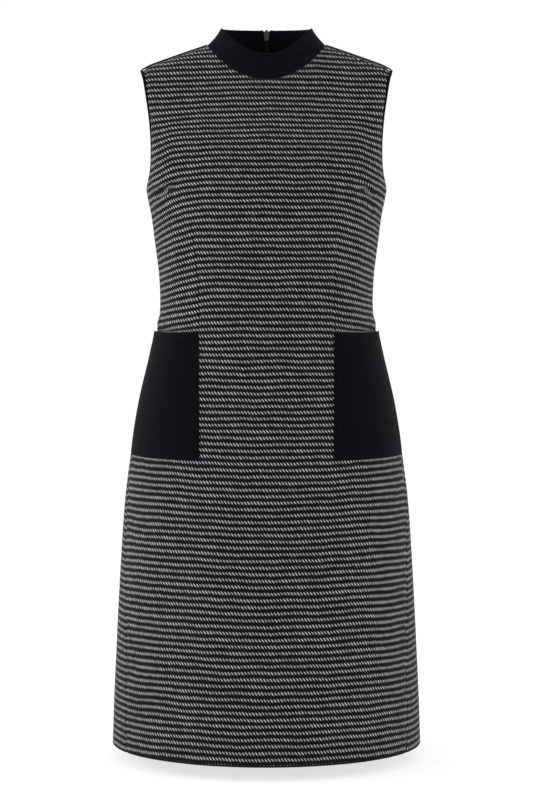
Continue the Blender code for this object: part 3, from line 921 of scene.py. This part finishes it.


# The stripe's unevenness: how far a row wanders, in metres, and how many times in a metre; how uneven and how
# soft a dash's ends are, as shares of a row; how much darker a dash may be by chance; and how much of the slant
# shows between the rows. The last pair is the heights where the rows fade out in painted shade along the hem's
# fold.
ROW_WANDER = 0.0034
WANDERS = 20.0
END_LUCK = 0.08
TOP_SOFTNESS = 0.22
FOOT_SOFTNESS = 0.24
LUCK_SHARE = 0.3
FAINT_SLANT = 0.025
HEM_SHADE = (HEM + HEM_LINE - 1.5, HEM + HEM_LINE + 1.0)


def striped_cloth(cloth):
    """Rows of slanted light dashes on a dark ground, where the same slant shows faintly."""
    weave = Weave("striped_cloth", cloth.ground_colour, 0.9, 0.05, 0.5)
    across_way, down_way = weave.place()
    wander = weave.noise(weave.vector(across_way, down_way), WANDERS, 1.0)
    wandered = weave.maths("MULTIPLY_ADD", weave.maths("SUBTRACT", wander, 0.5), ROW_WANDER, down_way)
    rows = weave.maths("DIVIDE", wandered, cloth.row_pitch)
    row = weave.maths("FLOOR", rows)
    within = weave.maths("FRACT", rows)
    shift = weave.chance(weave.vector(row, 3.0))
    slide = weave.maths("MULTIPLY", within, cloth.dash_slant * cloth.row_pitch / cloth.dash_pitch)
    dashes = weave.maths("ADD", weave.maths("DIVIDE", across_way, cloth.dash_pitch), shift)
    dashes = weave.maths("SUBTRACT", dashes, slide)
    dash = weave.maths("FLOOR", dashes)
    luck = weave.chance(weave.vector(dash, row, 1.0))
    other = weave.chance(weave.vector(dash, row, 7.0))
    top = weave.maths("MULTIPLY", other, END_LUCK)
    foot = weave.maths("MULTIPLY_ADD", luck, END_LUCK, cloth.light_share - TOP_SOFTNESS)
    into = weave.step(top, weave.maths("ADD", top, TOP_SOFTNESS), within)
    outof = weave.step(foot, weave.maths("ADD", foot, FOOT_SOFTNESS), within, down=True)
    shade_from, shade_to = HEM_SHADE
    # The light rows fade out along the hem's bottom edge: a painted shade of the hem's fold.
    hem_shade_mask = weave.step(shade_from * MM, shade_to * MM, weave.parts(weave.spot())[2])
    lit = weave.maths("MULTIPLY", weave.maths("MULTIPLY", into, outof), hem_shade_mask)
    swing = weave.maths("COSINE", weave.maths("MULTIPLY", dashes, 2 * math.pi))
    yarn = weave.maths("POWER", weave.maths("MULTIPLY_ADD", swing, -0.5, 0.5), cloth.dash_sharpness)
    body = weave.maths("MULTIPLY", lit, yarn)
    strength = weave.maths("MULTIPLY_ADD", luck, LUCK_SHARE, 1.0 - LUCK_SHARE)
    bright = weave.maths("MULTIPLY", body, strength)
    faint = weave.maths("MULTIPLY", yarn, FAINT_SLANT)
    share = weave.maths("MINIMUM", weave.maths("ADD", bright, faint), 1.0)
    colour = weave.mix(share, opaque(cloth.ground_colour), opaque(cloth.light_colour))
    weave.feed(weave.shader.inputs["Base Color"], colour)
    weave.bump(body, 0.0001, 0.3)
    return weave.material


def plain_cloth(name, colour, wear_share, cloth):
    """A plain, closely woven cloth with a fine twill and a slight bloom, paler where it is worn."""
    weave = Weave(name, colour, 0.82, 0.03, 0.45)
    across_way, down_way = weave.place()
    spot = weave.vector(across_way, down_way)
    slant = weave.maths("ADD", across_way, down_way)
    twill = weave.maths("SINE", weave.maths("MULTIPLY", slant, 2 * math.pi / cloth.twill_pitch))
    ribs = weave.maths("MULTIPLY_ADD", twill, 0.5, 0.5)
    cloud = weave.noise(spot, 45.0, 3.0)
    fleck = weave.noise(spot, 1500.0, 1.0)
    tone = weave.maths("MULTIPLY_ADD", ribs, 0.25, weave.maths("MULTIPLY", cloud, 0.45))
    tone = weave.maths("ADD", tone, weave.maths("MULTIPLY", fleck, 0.3))
    worn = weave.mix(tone, opaque(colour, 0.7), opaque(colour, wear_share))
    weave.feed(weave.shader.inputs["Base Color"], worn)
    weave.bump(weave.maths("MULTIPLY_ADD", ribs, 0.7, weave.maths("MULTIPLY", fleck, 0.6)), 0.0001, 0.7)
    return weave.material


def enamel(colour):
    """Dark enamel on the zip's metal, rubbed a little."""
    weave = Weave("zip_enamel", colour, 0.38, 0.0, metallic=0.5, specular=0.4)
    rub = weave.noise(weave.spot(), 900.0, 3.0)
    weave.feed(weave.shader.inputs["Base Color"], weave.mix(rub, opaque(colour, 0.6), opaque(colour, 1.7)))
    weave.feed(weave.shader.inputs["Roughness"], weave.maths("MULTIPLY_ADD", rub, 0.3, 0.25))
    weave.bump(rub, 0.00003, 0.4)
    return weave.material


def sewing_thread(name, colour):
    """Sewing thread, with a fine twist."""
    weave = Weave(name, colour, 0.6, 0.03, specular=0.2)
    twist = weave.noise(weave.spot(), 3000.0, 1.0)
    weave.feed(weave.shader.inputs["Base Color"], weave.mix(twist, opaque(colour, 0.6), opaque(colour, 1.5)))
    weave.bump(twist, 0.00005, 0.5)
    return weave.material


# ---------------------------------------------------------------- settings


class DressClothSettings(bpy.types.PropertyGroup):
    """The cloths: their weave, thickness and colours"""

    row_pitch: FloatProperty(
        name="Row pitch", description="From one light row to the next", default=0.0083, unit="LENGTH"
    )
    light_share: FloatProperty(
        name="Light share",
        description="Share of a row's pitch that the dashes fill",
        default=0.6,
        subtype="FACTOR",
    )
    dash_pitch: FloatProperty(
        name="Dash pitch", description="From one dash to the next", default=0.0042, unit="LENGTH"
    )
    dash_sharpness: FloatProperty(
        name="Dash sharpness", description="How narrow a dash is for its pitch", default=2.2
    )
    dash_slant: FloatProperty(name="Dash slant", description="Run across for each step down", default=0.69)
    thickness: FloatProperty(name="Thickness", description="Cloth thickness", default=0.0012, unit="LENGTH")
    twill_pitch: FloatProperty(
        name="Twill pitch", description="Rib pitch of the plain cloth", default=0.0009, unit="LENGTH"
    )
    light_colour: FloatVectorProperty(
        name="Light thread",
        description="Colour of the dashes",
        default=(0.46, 0.46, 0.452),
        subtype="COLOR",
    )
    ground_colour: FloatVectorProperty(
        name="Ground",
        description="Colour between the dashes",
        default=(0.0022, 0.0024, 0.0033),
        subtype="COLOR",
    )
    plain_colour: FloatVectorProperty(
        name="Plain cloth",
        description="Collar and pockets",
        default=(0.0036, 0.0034, 0.0052),
        subtype="COLOR",
    )


class DressTrimSettings(bpy.types.PropertyGroup):
    """The edgings, stitches and zip"""

    binding_width: FloatProperty(
        name="Binding width",
        description="Width of the folded armhole edging",
        default=0.0038,
        unit="LENGTH",
    )
    binding_colour: FloatVectorProperty(
        name="Binding", description="Colour of the edging", default=(0.003, 0.003, 0.004), subtype="COLOR"
    )
    stitch_pitch: FloatProperty(
        name="Stitch pitch", description="From one stitch to the next", default=0.0027, unit="LENGTH"
    )
    tooth_pitch: FloatProperty(
        name="Tooth pitch", description="From one zip tooth to the next", default=0.0015, unit="LENGTH"
    )
    metal_colour: FloatVectorProperty(
        name="Zip metal",
        description="Enamel of the slider and pull",
        default=(0.03, 0.03, 0.033),
        subtype="COLOR",
    )


class DressStageSettings(bpy.types.PropertyGroup):
    """The floor, the light and the camera"""

    floor_height: FloatProperty(
        name="Floor height", description="Height of the floor", default=-0.94, unit="LENGTH"
    )
    camera_distance: FloatProperty(
        name="Camera distance", description="From the dress to the camera", default=3.114, unit="LENGTH"
    )
    camera_height: FloatProperty(
        name="Camera height", description="Height of the camera", default=-0.2495, unit="LENGTH"
    )
    camera_tilt: FloatProperty(
        name="Camera tilt", description="Downward tilt", default=math.radians(3.953), subtype="ANGLE"
    )
    lens: FloatProperty(name="Lens", description="Focal length in millimetres", default=106.155)
    world_strength: FloatProperty(
        name="Room light", description="Strength of the room's light", default=1.0
    )
    key_power: FloatProperty(
        name="Key light", description="Power of the light from the left", default=48.0, unit="POWER"
    )


# ---------------------------------------------------------------- repeats along a line


def polyline(name, points, closed):
    """A mesh of edges through points in millimetres."""
    mesh = bpy.data.meshes.new(name)
    edges = [(i, i + 1) for i in range(len(points) - 1)]
    if closed:
        edges.append((len(points) - 1, 0))
    mesh.from_pydata((points * MM).tolist(), edges, [])
    return placed(name, mesh)


# A rod's sizes in the tree, in metres and radians, until a piece sets its own
BAR_SIZES = {"Pitch": 0.0027, "Length": 0.0019, "Radius": 0.0002, "Turn": 0.0}
BAR_SIDES = 6


def bar_tree(name):
    """Nodes that lay small rods along a line, each turned by an angle to it."""
    tree = bpy.data.node_groups.new(name, "GeometryNodeTree")
    sockets = {}
    tree.interface.new_socket("Geometry", in_out="INPUT", socket_type="NodeSocketGeometry")
    for label, default in BAR_SIZES.items():
        socket = tree.interface.new_socket(label, in_out="INPUT", socket_type="NodeSocketFloat")
        socket.default_value = default
        sockets[label] = socket.identifier
    socket = tree.interface.new_socket("Material", in_out="INPUT", socket_type="NodeSocketMaterial")
    sockets["Material"] = socket.identifier
    tree.interface.new_socket("Geometry", in_out="OUTPUT", socket_type="NodeSocketGeometry")
    nodes = tree.nodes
    given = nodes.new("NodeGroupInput")
    result = nodes.new("NodeGroupOutput")
    line = nodes.new("GeometryNodeMeshToCurve")
    points = nodes.new("GeometryNodeCurveToPoints")
    points.mode = "LENGTH"
    rod = nodes.new("GeometryNodeMeshCylinder")
    rod.inputs["Vertices"].default_value = BAR_SIDES
    turn = nodes.new("ShaderNodeCombineXYZ")
    rotate = nodes.new("FunctionNodeRotateRotation")
    rotate.rotation_space = "LOCAL"
    euler = nodes.new("FunctionNodeEulerToRotation")
    instances = nodes.new("GeometryNodeInstanceOnPoints")
    real = nodes.new("GeometryNodeRealizeInstances")
    paint = nodes.new("GeometryNodeSetMaterial")
    for start, output, end, socket in (
        (given, "Geometry", line, 0),
        (line, 0, points, "Curve"),
        (given, "Pitch", points, "Length"),
        (given, "Radius", rod, "Radius"),
        (given, "Length", rod, "Depth"),
        (given, "Turn", turn, "X"),
        (turn, 0, euler, 0),
        (points, "Rotation", rotate, "Rotation"),
        (euler, 0, rotate, "Rotate By"),
        (points, "Points", instances, "Points"),
        (rod, "Mesh", instances, "Instance"),
        (rotate, 0, instances, "Rotation"),
        (instances, 0, real, 0),
        (real, 0, paint, "Geometry"),
        (given, "Material", paint, "Material"),
        (paint, 0, result, 0),
    ):
        tree.links.new(start.outputs[output], end.inputs[socket])
    return tree, sockets


def bars_along(name, points, pitch, length, radius, material, turn=0.0, closed=False):
    """Small rods along a line of points in millimetres, as one plain mesh. The other sizes are in metres."""
    item = polyline(name, points, closed)
    tree, sockets = bar_tree(name + "_nodes")
    modifier = item.modifiers.new("bars", "NODES")
    modifier.node_group = tree
    for label, value in zip(BAR_SIZES, (pitch, length, radius, turn)):
        modifier[sockets[label]] = value
    modifier[sockets["Material"]] = material
    settled(item).data.shade_smooth()
    item.data.name = name
    return item


# ---------------------------------------------------------------- pieces


def wear(item, body, slot, *nodes):
    """Puts a finished piece on its body, in the place of its nodes. The slot is not used."""
    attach(item, body)
    if nodes:
        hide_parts(*nodes)
    return item


def scene_settings():
    """The settings of the cloth, the trims and the stage."""
    scene = bpy.context.scene
    return scene.dress_cloth, scene.dress_trims, scene.dress_stage


class DRESS_OT_panels(bpy.types.Operator):
    """Builds the front and the two backs in striped cloth"""

    bl_idname = "dress.panels"
    bl_label = "Front and backs"

    def execute(self, context):
        cloth = scene_settings()[0]
        material = striped_cloth(cloth)
        thickness = cloth.thickness / MM
        half = panel_columns()
        whole = np.concatenate((-half[:0:-1], half))
        front = panel("front_cloth", whole, -1, FRONT_FOLDS, (0, -1), material, thickness)
        wear(front, "dress", "striped_cloth", "front")
        for name, columns in (("left", half), ("right", -half[::-1])):
            back = panel(f"back_{name}_cloth", columns, 1, BACK_FOLDS, (0, -1), material, thickness)
            wear(back, "dress", "striped_cloth", f"back_{name}")
        return {"FINISHED"}


class DRESS_OT_collar(bpy.types.Operator):
    """Builds the plain stand collar"""

    bl_idname = "dress.collar"
    bl_label = "Stand collar"

    def execute(self, context):
        cloth = scene_settings()[0]
        material = plain_cloth("collar_cloth", cloth.plain_colour, COLLAR_WEAR, cloth)
        left = collar_half(np.linspace(0.0, 1.0, COLLAR_ROWS))
        right = left[:, :0:-1] * (-1.0, 1.0, 1.0)
        grid = np.concatenate((right, left), axis=1)
        normal = surface_normals(grid, NECK_MIDDLE)
        places = np.stack((arc_lengths(grid, 1), -arc_lengths(grid, 0)), -1)
        item = shell("collar_band", grid, normal, places, COLLAR_CLOTH, material)
        wear(item, "dress", "plain_cloth", "collar")
        return {"FINISHED"}


class DRESS_OT_pockets(bpy.types.Operator):
    """Builds the two plain hip pockets"""

    bl_idname = "dress.pockets"
    bl_label = "Hip pockets"

    def execute(self, context):
        cloth = scene_settings()[0]
        material = plain_cloth("pocket_cloth", cloth.plain_colour, POCKET_WEAR, cloth)
        for name, hand in (("left", 1), ("right", -1)):
            item = self.patch(f"pocket_{name}_patch", hand, material)
            wear(item, "dress", "plain_cloth", f"pocket_{name}")
        return {"FINISHED"}

    def patch(self, name, hand, material):
        """One pocket on the skirt's rings, eased open at its mouth and turned in at its other edges."""
        down, over = POCKET_DOWN[:, None], POCKET_OVER[None, :]
        height = POCKET_TOP + (POCKET_BOTTOM - POCKET_TOP) * down
        inner_x = POCKET_INNER_TOP + (POCKET_INNER_BOTTOM - POCKET_INNER_TOP) * down
        inner = angle_at(inner_x / smooth(RINGS, 1, height), smooth(RINGS, 5, height))
        outer = np.pi / 2 - np.radians(smooth(RINGS, 4, height)) - POCKET_SIDE_GAP
        grid = ring_point(hand * (inner + (outer - inner) * over), height, -1)
        normal = surface_normals(grid, HIP_MIDDLE)
        opened = np.maximum(1.0 - (POCKET_TOP - height) / MOUTH_EASE_DEPTH, 0.0) ** 2
        ease = opened * (MOUTH_EASE_INNER + (MOUTH_EASE_OUTER - MOUTH_EASE_INNER) * over)
        edge = np.minimum(np.minimum(over, 1.0 - over) * POCKET_WIDTH, (1.0 - down) * POCKET_LENGTH)
        turned = POCKET_EDGE_DROP * bell(edge, POCKET_EDGE_SPAN)
        stitched = POCKET_STITCH_DROP * bell(edge - POCKET_STITCH_INSET, POCKET_STITCH_HALF)
        swell = POCKET_SWELL * np.sin(np.pi * over) * np.sin(np.pi * down)
        out = POCKET_SEAM + POCKET_CLOTH + ease - turned - stitched + swell
        grid = grid + normal * out[..., None]
        normal = surface_normals(grid, HIP_MIDDLE)
        run = arc_lengths(grid, 1)
        places = np.stack((run, np.broadcast_to(-height, run.shape)), -1)
        return shell(name, grid, normal, places, POCKET_SHELL, material)


def armhole_loop(angle, ways):
    """Points round an armhole, from the shoulder down its front and up its back."""
    return np.concatenate((upper_point(angle, ways, -1), upper_point(angle, ways[-2:0:-1], 1)))


def armhole_frames(hand):
    """Points round an armhole's edge, with the directions out over the edge and out of the cloth."""
    ways = 1.0 - np.linspace(1.0, 0.0, ARMHOLE_STEPS) ** 2
    loop = armhole_loop(hand * np.pi / 2, ways)
    over = unit(loop - armhole_loop(hand * np.pi / 2 * EDGE_LOOK, ways))
    up = ramp(*UNDERARM_TURN, np.concatenate((ways, ways[-2:0:-1])))[:, None]
    over = over * (1.0 - up) + np.array((0.0, 0.0, 1.0)) * up
    points = eased_loop(even_loop(loop, loop), 2)
    points[:, 2] -= TIP_DROP * bell(points[:, 2] - TIP_HEIGHT, TIP_SPAN)
    over = eased_loop(even_loop(loop, over), 4)
    tangent = unit(np.roll(points, -1, axis=0) - np.roll(points, 1, axis=0))
    over = unit(over - tangent * np.sum(over * tangent, axis=1, keepdims=True))
    out = np.cross(tangent, over)
    outward = np.sum(out * np.array((hand, 0.0, 0.5)), axis=1, keepdims=True)
    return points, over, out * np.sign(outward)


def even_loop(loop, values):
    """The values along a closed loop, at even steps of its length."""
    length = arc_lengths(np.concatenate((loop, loop[:1])))
    closed = np.concatenate((values, values[:1]))
    stops = np.linspace(0.0, length[-1], ARMHOLE_POINTS, endpoint=False)
    return np.stack([np.interp(stops, length, closed[:, k]) for k in range(3)], -1)


def eased_loop(values, times):
    """The values along a closed loop, each drawn towards its neighbours a few times."""
    for _ in range(times):
        values = 0.25 * np.roll(values, 1, axis=0) + 0.5 * values + 0.25 * np.roll(values, -1, axis=0)
    return values


class DRESS_OT_bindings(bpy.types.Operator):
    """Builds the narrow folded edging round each armhole, with its stitches, and the shoulder seams, dark in
    painted shade
    """

    bl_idname = "dress.bindings"
    bl_label = "Armhole bindings"

    def execute(self, context):
        cloth, trims, _ = scene_settings()
        material = plain_cloth("edging_cloth", trims.binding_colour, EDGING_WEAR, cloth)
        sewing = sewing_thread("edging_thread", trims.binding_colour)
        for name, hand in (("left", 1), ("right", -1)):
            points, over, out = armhole_frames(hand)
            item = self.fold(f"binding_{name}_fold", points, over, out, trims, cloth, material)
            wear(item, "dress", "edging", f"armhole_binding_{name}")
            stitches = bars_along(
                f"binding_{name}_stitches",
                points - over * STITCH_INSET + out * STITCH_STAND,
                trims.stitch_pitch,
                trims.stitch_pitch * STITCH_SHARE,
                EDGING_STITCH_RADIUS,
                sewing,
                closed=True,
            )
            wear(stitches, "dress", "edging")
            # The shoulder seam's ridge is a real seam; its dark cloth is painted shade along the shoulder's
            # edge.
            wear(self.shoulder_seam_shade(f"shoulder_seam_shade_{name}", hand, material), "dress", "edging")
        return {"FINISHED"}

    def shoulder_seam_shade(self, name, hand, material):
        """The thin dark ridge where the front and back meet on the shoulder."""
        at_neck, at_tip = SEAM_INSET
        x = np.linspace(HALF_NECK + at_neck, HALF_SHOULDER - at_tip, SEAM_POINTS)[:, None]
        aside = np.linspace(-1.0, 1.0, SEAM_COLUMNS)[None, :]
        height = shoulder_height(x) + SEAM_RISE * (1.0 - aside**2)
        height = height - TIP_DROP * bell(x - HALF_SHOULDER, TIP_SPAN)
        ridge = -ARMHOLE[0][2] - SEAM_AHEAD + aside * SEAM_HALF
        grid = np.stack(np.broadcast_arrays(hand * x, ridge, height), -1)
        normal = surface_normals(grid, SHOULDER_MIDDLE * (hand, 1.0, 1.0))
        places = np.stack(np.broadcast_arrays(aside * SEAM_HALF, x), -1)
        return shell(name, grid, normal, places, SEAM_CLOTH, material)

    def fold(self, name, points, over, out, trims, cloth, material):
        """A tube with a flat oval section that wraps the cloth's edge."""
        half_width = trims.binding_width / MM / 2
        half_cloth = cloth.thickness / MM / 2
        middle = points + over * (half_width - BINDING_OVERHANG) - out * (half_cloth + BINDING_DEPTH)
        turns = np.linspace(0.0, 2 * np.pi, BINDING_SIDES, endpoint=False)
        ways = np.stack((np.cos(turns), np.sin(turns)))
        wide, thick = (np.sign(ways) * np.abs(ways) ** BINDING_FULLNESS)[..., None]
        half_thick = half_cloth + BINDING_STAND
        verts = middle[:, None] + over[:, None] * wide * half_width + out[:, None] * thick * half_thick
        length = arc_lengths(np.concatenate((points, points[:1])))[:-1]
        wrap = np.arange(BINDING_SIDES) * BINDING_WRAP * half_width / BINDING_SIDES * 2
        places = np.stack(np.broadcast_arrays(length[:, None], wrap[None, :]), -1)
        index = np.arange(len(points) * BINDING_SIDES).reshape(len(points), BINDING_SIDES)
        after = np.roll(index, -1, axis=0)
        faces = np.stack((index, after, np.roll(after, -1, axis=1), np.roll(index, -1, axis=1)), -1)
        return made_mesh(name, verts.reshape(-1, 3), faces.reshape(-1, 4), places.reshape(-1, 2), material)


class DRESS_OT_zip(bpy.types.Operator):
    """Builds the zip's teeth and stitches, and finishes its tapes, slider and pull"""

    bl_idname = "dress.zip"
    bl_label = "Zip"

    def execute(self, context):
        cloth, trims, _ = scene_settings()
        metal = enamel(trims.metal_colour)
        shaded = [part * TAPE_SHADE for part in cloth.plain_colour]
        tape = plain_cloth("tape_cloth", shaded, TAPE_WEAR, cloth)
        teeth = sewing_thread("teeth_coil", TEETH_COLOUR)
        sewing = sewing_thread("tape_thread", trims.binding_colour)
        for name, hand in (("left", 1), ("right", -1)):
            self.tape(name, hand, tape, teeth, sewing, trims)
        for node, body in (("zip_slider", "dress"), ("zip_pull", "pull")):
            item = self.rounded(node, metal)
            wear(item, body, "enamel", node)
        return {"FINISHED"}

    def tape(self, name, hand, material, teeth, sewing, trims):
        """Half of the tape, on the collar and the centre back, with its coil of teeth and its stitches."""
        above = collar_half(np.linspace(TAPE_FOOT, TAPE_TOP, TAPE_COLUMNS)[::-1])[:, -TAPE_COLUMNS:]
        below = panel_grid(np.linspace(0.0, TAPE_REACH, TAPE_COLUMNS), 1)
        below = below[below[:, 0, 2] > ZIP_END][TAPE_FIRST_ROW:]
        lines = [self.at(row, COLLAR_CLOTH + TAPE_CLEAR) for row in above]
        lines += [self.at(row, TAPE_DEPTH) for row in below]
        centre, beside = (np.array(line) for line in zip(*lines))
        shares = np.linspace(0.0, 1.0, TAPE_LINES)
        grid = centre[:, None] + (beside - centre)[:, None] * shares[None, :, None]
        grid = grid * (hand, 1.0, 1.0)
        normal = surface_normals(grid, BACK_MIDDLE)
        length = arc_lengths(centre)
        places = np.stack(np.broadcast_arrays(shares[None, :] * TAPE_WIDTH, length[:, None]), -1)
        item = shell(f"zip_tape_{name}_woven", grid, normal, places, TAPE_CLOTH, material)
        wear(item, "dress", "zip_tape", f"zip_tape_{name}")
        coil = bars_along(
            f"zip_teeth_{name}",
            grid[:, 0] - normal[:, 0] * (TAPE_CLOTH + TEETH_DEPTH) + np.array((hand * TEETH_ASIDE, 0.0, 0.0)),
            trims.tooth_pitch,
            TOOTH_LENGTH,
            TOOTH_RADIUS,
            teeth,
            turn=math.pi / 2,
        )
        wear(coil, "dress", "zip_tape")
        stitches = bars_along(
            f"zip_stitches_{name}",
            grid[:, TAPE_SEWN_LINE] - normal[:, TAPE_SEWN_LINE] * (TAPE_CLOTH + TAPE_STITCH_STAND),
            trims.stitch_pitch,
            trims.stitch_pitch * STITCH_SHARE,
            TAPE_STITCH_RADIUS,
            sewing,
        )
        wear(stitches, "dress", "zip_tape")

    def at(self, row, depth):
        """The tape's two edges on one row of points, a depth inside the cloth."""
        row = row[np.argsort(row[:, 0])]
        edges = (TAPE_KEPT_BACK, TAPE_WIDTH)
        first, last = np.stack([np.interp(edges, row[:, 0], row[:, k]) for k in range(3)], -1)
        first[0], last[0] = max(TAPE_KEPT_BACK, row[0, 0] + TAPE_EDGE_GAP), TAPE_WIDTH
        run = unit(last - first)
        inward = unit(np.cross(run, np.array((0.0, 0.0, 1.0))))
        if inward[1] > 0:
            inward = -inward
        return first + inward * depth, last + inward * depth

    def rounded(self, node, material):
        """A copy of a small hard node with its sharp edges rounded."""
        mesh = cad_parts[node].data.copy()
        mesh.name = node + "_rounded"
        build = bmesh.new()
        build.from_mesh(mesh)
        bmesh.ops.remove_doubles(build, verts=build.verts, dist=1e-6)
        bmesh.ops.dissolve_limit(build, angle_limit=0.02, verts=build.verts, edges=build.edges)
        build.to_mesh(mesh)
        build.free()
        mesh.materials.clear()
        mesh.materials.append(material)
        item = placed(node + "_rounded", mesh)
        bevel = item.modifiers.new("rounded", "BEVEL")
        bevel.width = METAL_ROUNDING
        bevel.segments = 2
        bevel.limit_method = "ANGLE"
        bevel.angle_limit = math.radians(30)
        return settled(item)


# The stage, in metres: the lamps to the left and right, and the floor's size, grey and glow
LAMP_PLACES = {"key": (-2.6, -0.3, 0.1), "fill": (2.6, -0.3, 0.1)}
LAMP_AIM = (0.0, 0.0, -0.4)
LAMP_SIZE = 1.8
FILL_SHARE = 0.5
FLOOR_SIZE = 30.0
FLOOR_GREY = 0.33
FLOOR_GLOW = 0.7
SENSOR_WIDTH = 36.0
WHITE = (1.0, 1.0, 1.0, 1.0)


class DRESS_OT_stage(bpy.types.Operator):
    """Builds the pale floor, the soft light and the camera"""

    bl_idname = "dress.stage"
    bl_label = "Floor, light and camera"

    def execute(self, context):
        stage = scene_settings()[2]
        scene = context.scene
        scene.view_settings.view_transform = "Standard"
        self.floor(stage.floor_height)
        world = bpy.data.worlds.new("white_room")
        world.use_nodes = True
        room = world.node_tree.nodes["Background"].inputs
        room["Color"].default_value = WHITE
        room["Strength"].default_value = stage.world_strength
        scene.world = world
        self.lamp("key", stage.key_power)
        self.lamp("fill", stage.key_power * FILL_SHARE)
        self.camera(stage)
        return {"FINISHED"}

    def floor(self, height):
        """A wide pale floor that glows a little, so that only a soft shadow shows on it."""
        build = bmesh.new()
        bmesh.ops.create_grid(build, x_segments=1, y_segments=1, size=FLOOR_SIZE)
        mesh = bpy.data.meshes.new("floor")
        build.to_mesh(mesh)
        build.free()
        weave = Weave("pale_floor", (FLOOR_GREY,) * 3, 0.9, 0.0, specular=0.0)
        weave.shader.inputs["Emission Color"].default_value = WHITE
        weave.shader.inputs["Emission Strength"].default_value = FLOOR_GLOW
        mesh.materials.append(weave.material)
        floor = placed("floor", mesh)
        floor.location.z = height

    def lamp(self, name, power):
        """A broad soft lamp that faces the dress."""
        data = bpy.data.lights.new(name, "AREA")
        data.energy = power
        data.size = LAMP_SIZE
        lamp = placed(name, data)
        lamp.location = LAMP_PLACES[name]
        lamp.rotation_euler = (Vector(LAMP_AIM) - lamp.location).to_track_quat("-Z", "Y").to_euler()

    def camera(self, stage):
        """The photograph's camera."""
        data = bpy.data.cameras.new("camera")
        data.lens = stage.lens
        data.sensor_width = SENSOR_WIDTH
        camera = placed("camera", data)
        camera.location = (0.0, -stage.camera_distance, stage.camera_height)
        camera.rotation_euler = (math.pi / 2 - stage.camera_tilt, 0.0, 0.0)
        bpy.context.scene.camera = camera


class DRESS_PT_panel(bpy.types.Panel):
    """Lists the dress's settings and its pieces"""

    bl_idname = "DRESS_PT_panel"
    bl_label = "A-line dress"
    bl_space_type = "VIEW_3D"
    bl_region_type = "UI"
    bl_category = "Dress"

    def draw(self, context):
        for settings in scene_settings():
            box = self.layout.box()
            for name in settings.__annotations__:
                box.prop(settings, name)
        for operator in OPERATORS:
            self.layout.operator(operator.bl_idname)


SETTINGS = (DressClothSettings, DressTrimSettings, DressStageSettings)
OPERATORS = (
    DRESS_OT_panels,
    DRESS_OT_collar,
    DRESS_OT_pockets,
    DRESS_OT_bindings,
    DRESS_OT_zip,
    DRESS_OT_stage,
)


def register():
    for made in SETTINGS + OPERATORS + (DRESS_PT_panel,):
        bpy.utils.register_class(made)
    bpy.types.Scene.dress_cloth = PointerProperty(type=DressClothSettings)
    bpy.types.Scene.dress_trims = PointerProperty(type=DressTrimSettings)
    bpy.types.Scene.dress_stage = PointerProperty(type=DressStageSettings)


def unregister():
    del bpy.types.Scene.dress_stage
    del bpy.types.Scene.dress_trims
    del bpy.types.Scene.dress_cloth
    for made in reversed(SETTINGS + OPERATORS + (DRESS_PT_panel,)):
        bpy.utils.unregister_class(made)


def main():
    register()
    bpy.ops.dress.panels()
    bpy.ops.dress.collar()
    bpy.ops.dress.pockets()
    bpy.ops.dress.bindings()
    bpy.ops.dress.zip()
    bpy.ops.dress.stage()
    bpy.context.view_layer.update()


if __name__ == "__main__":
    main()
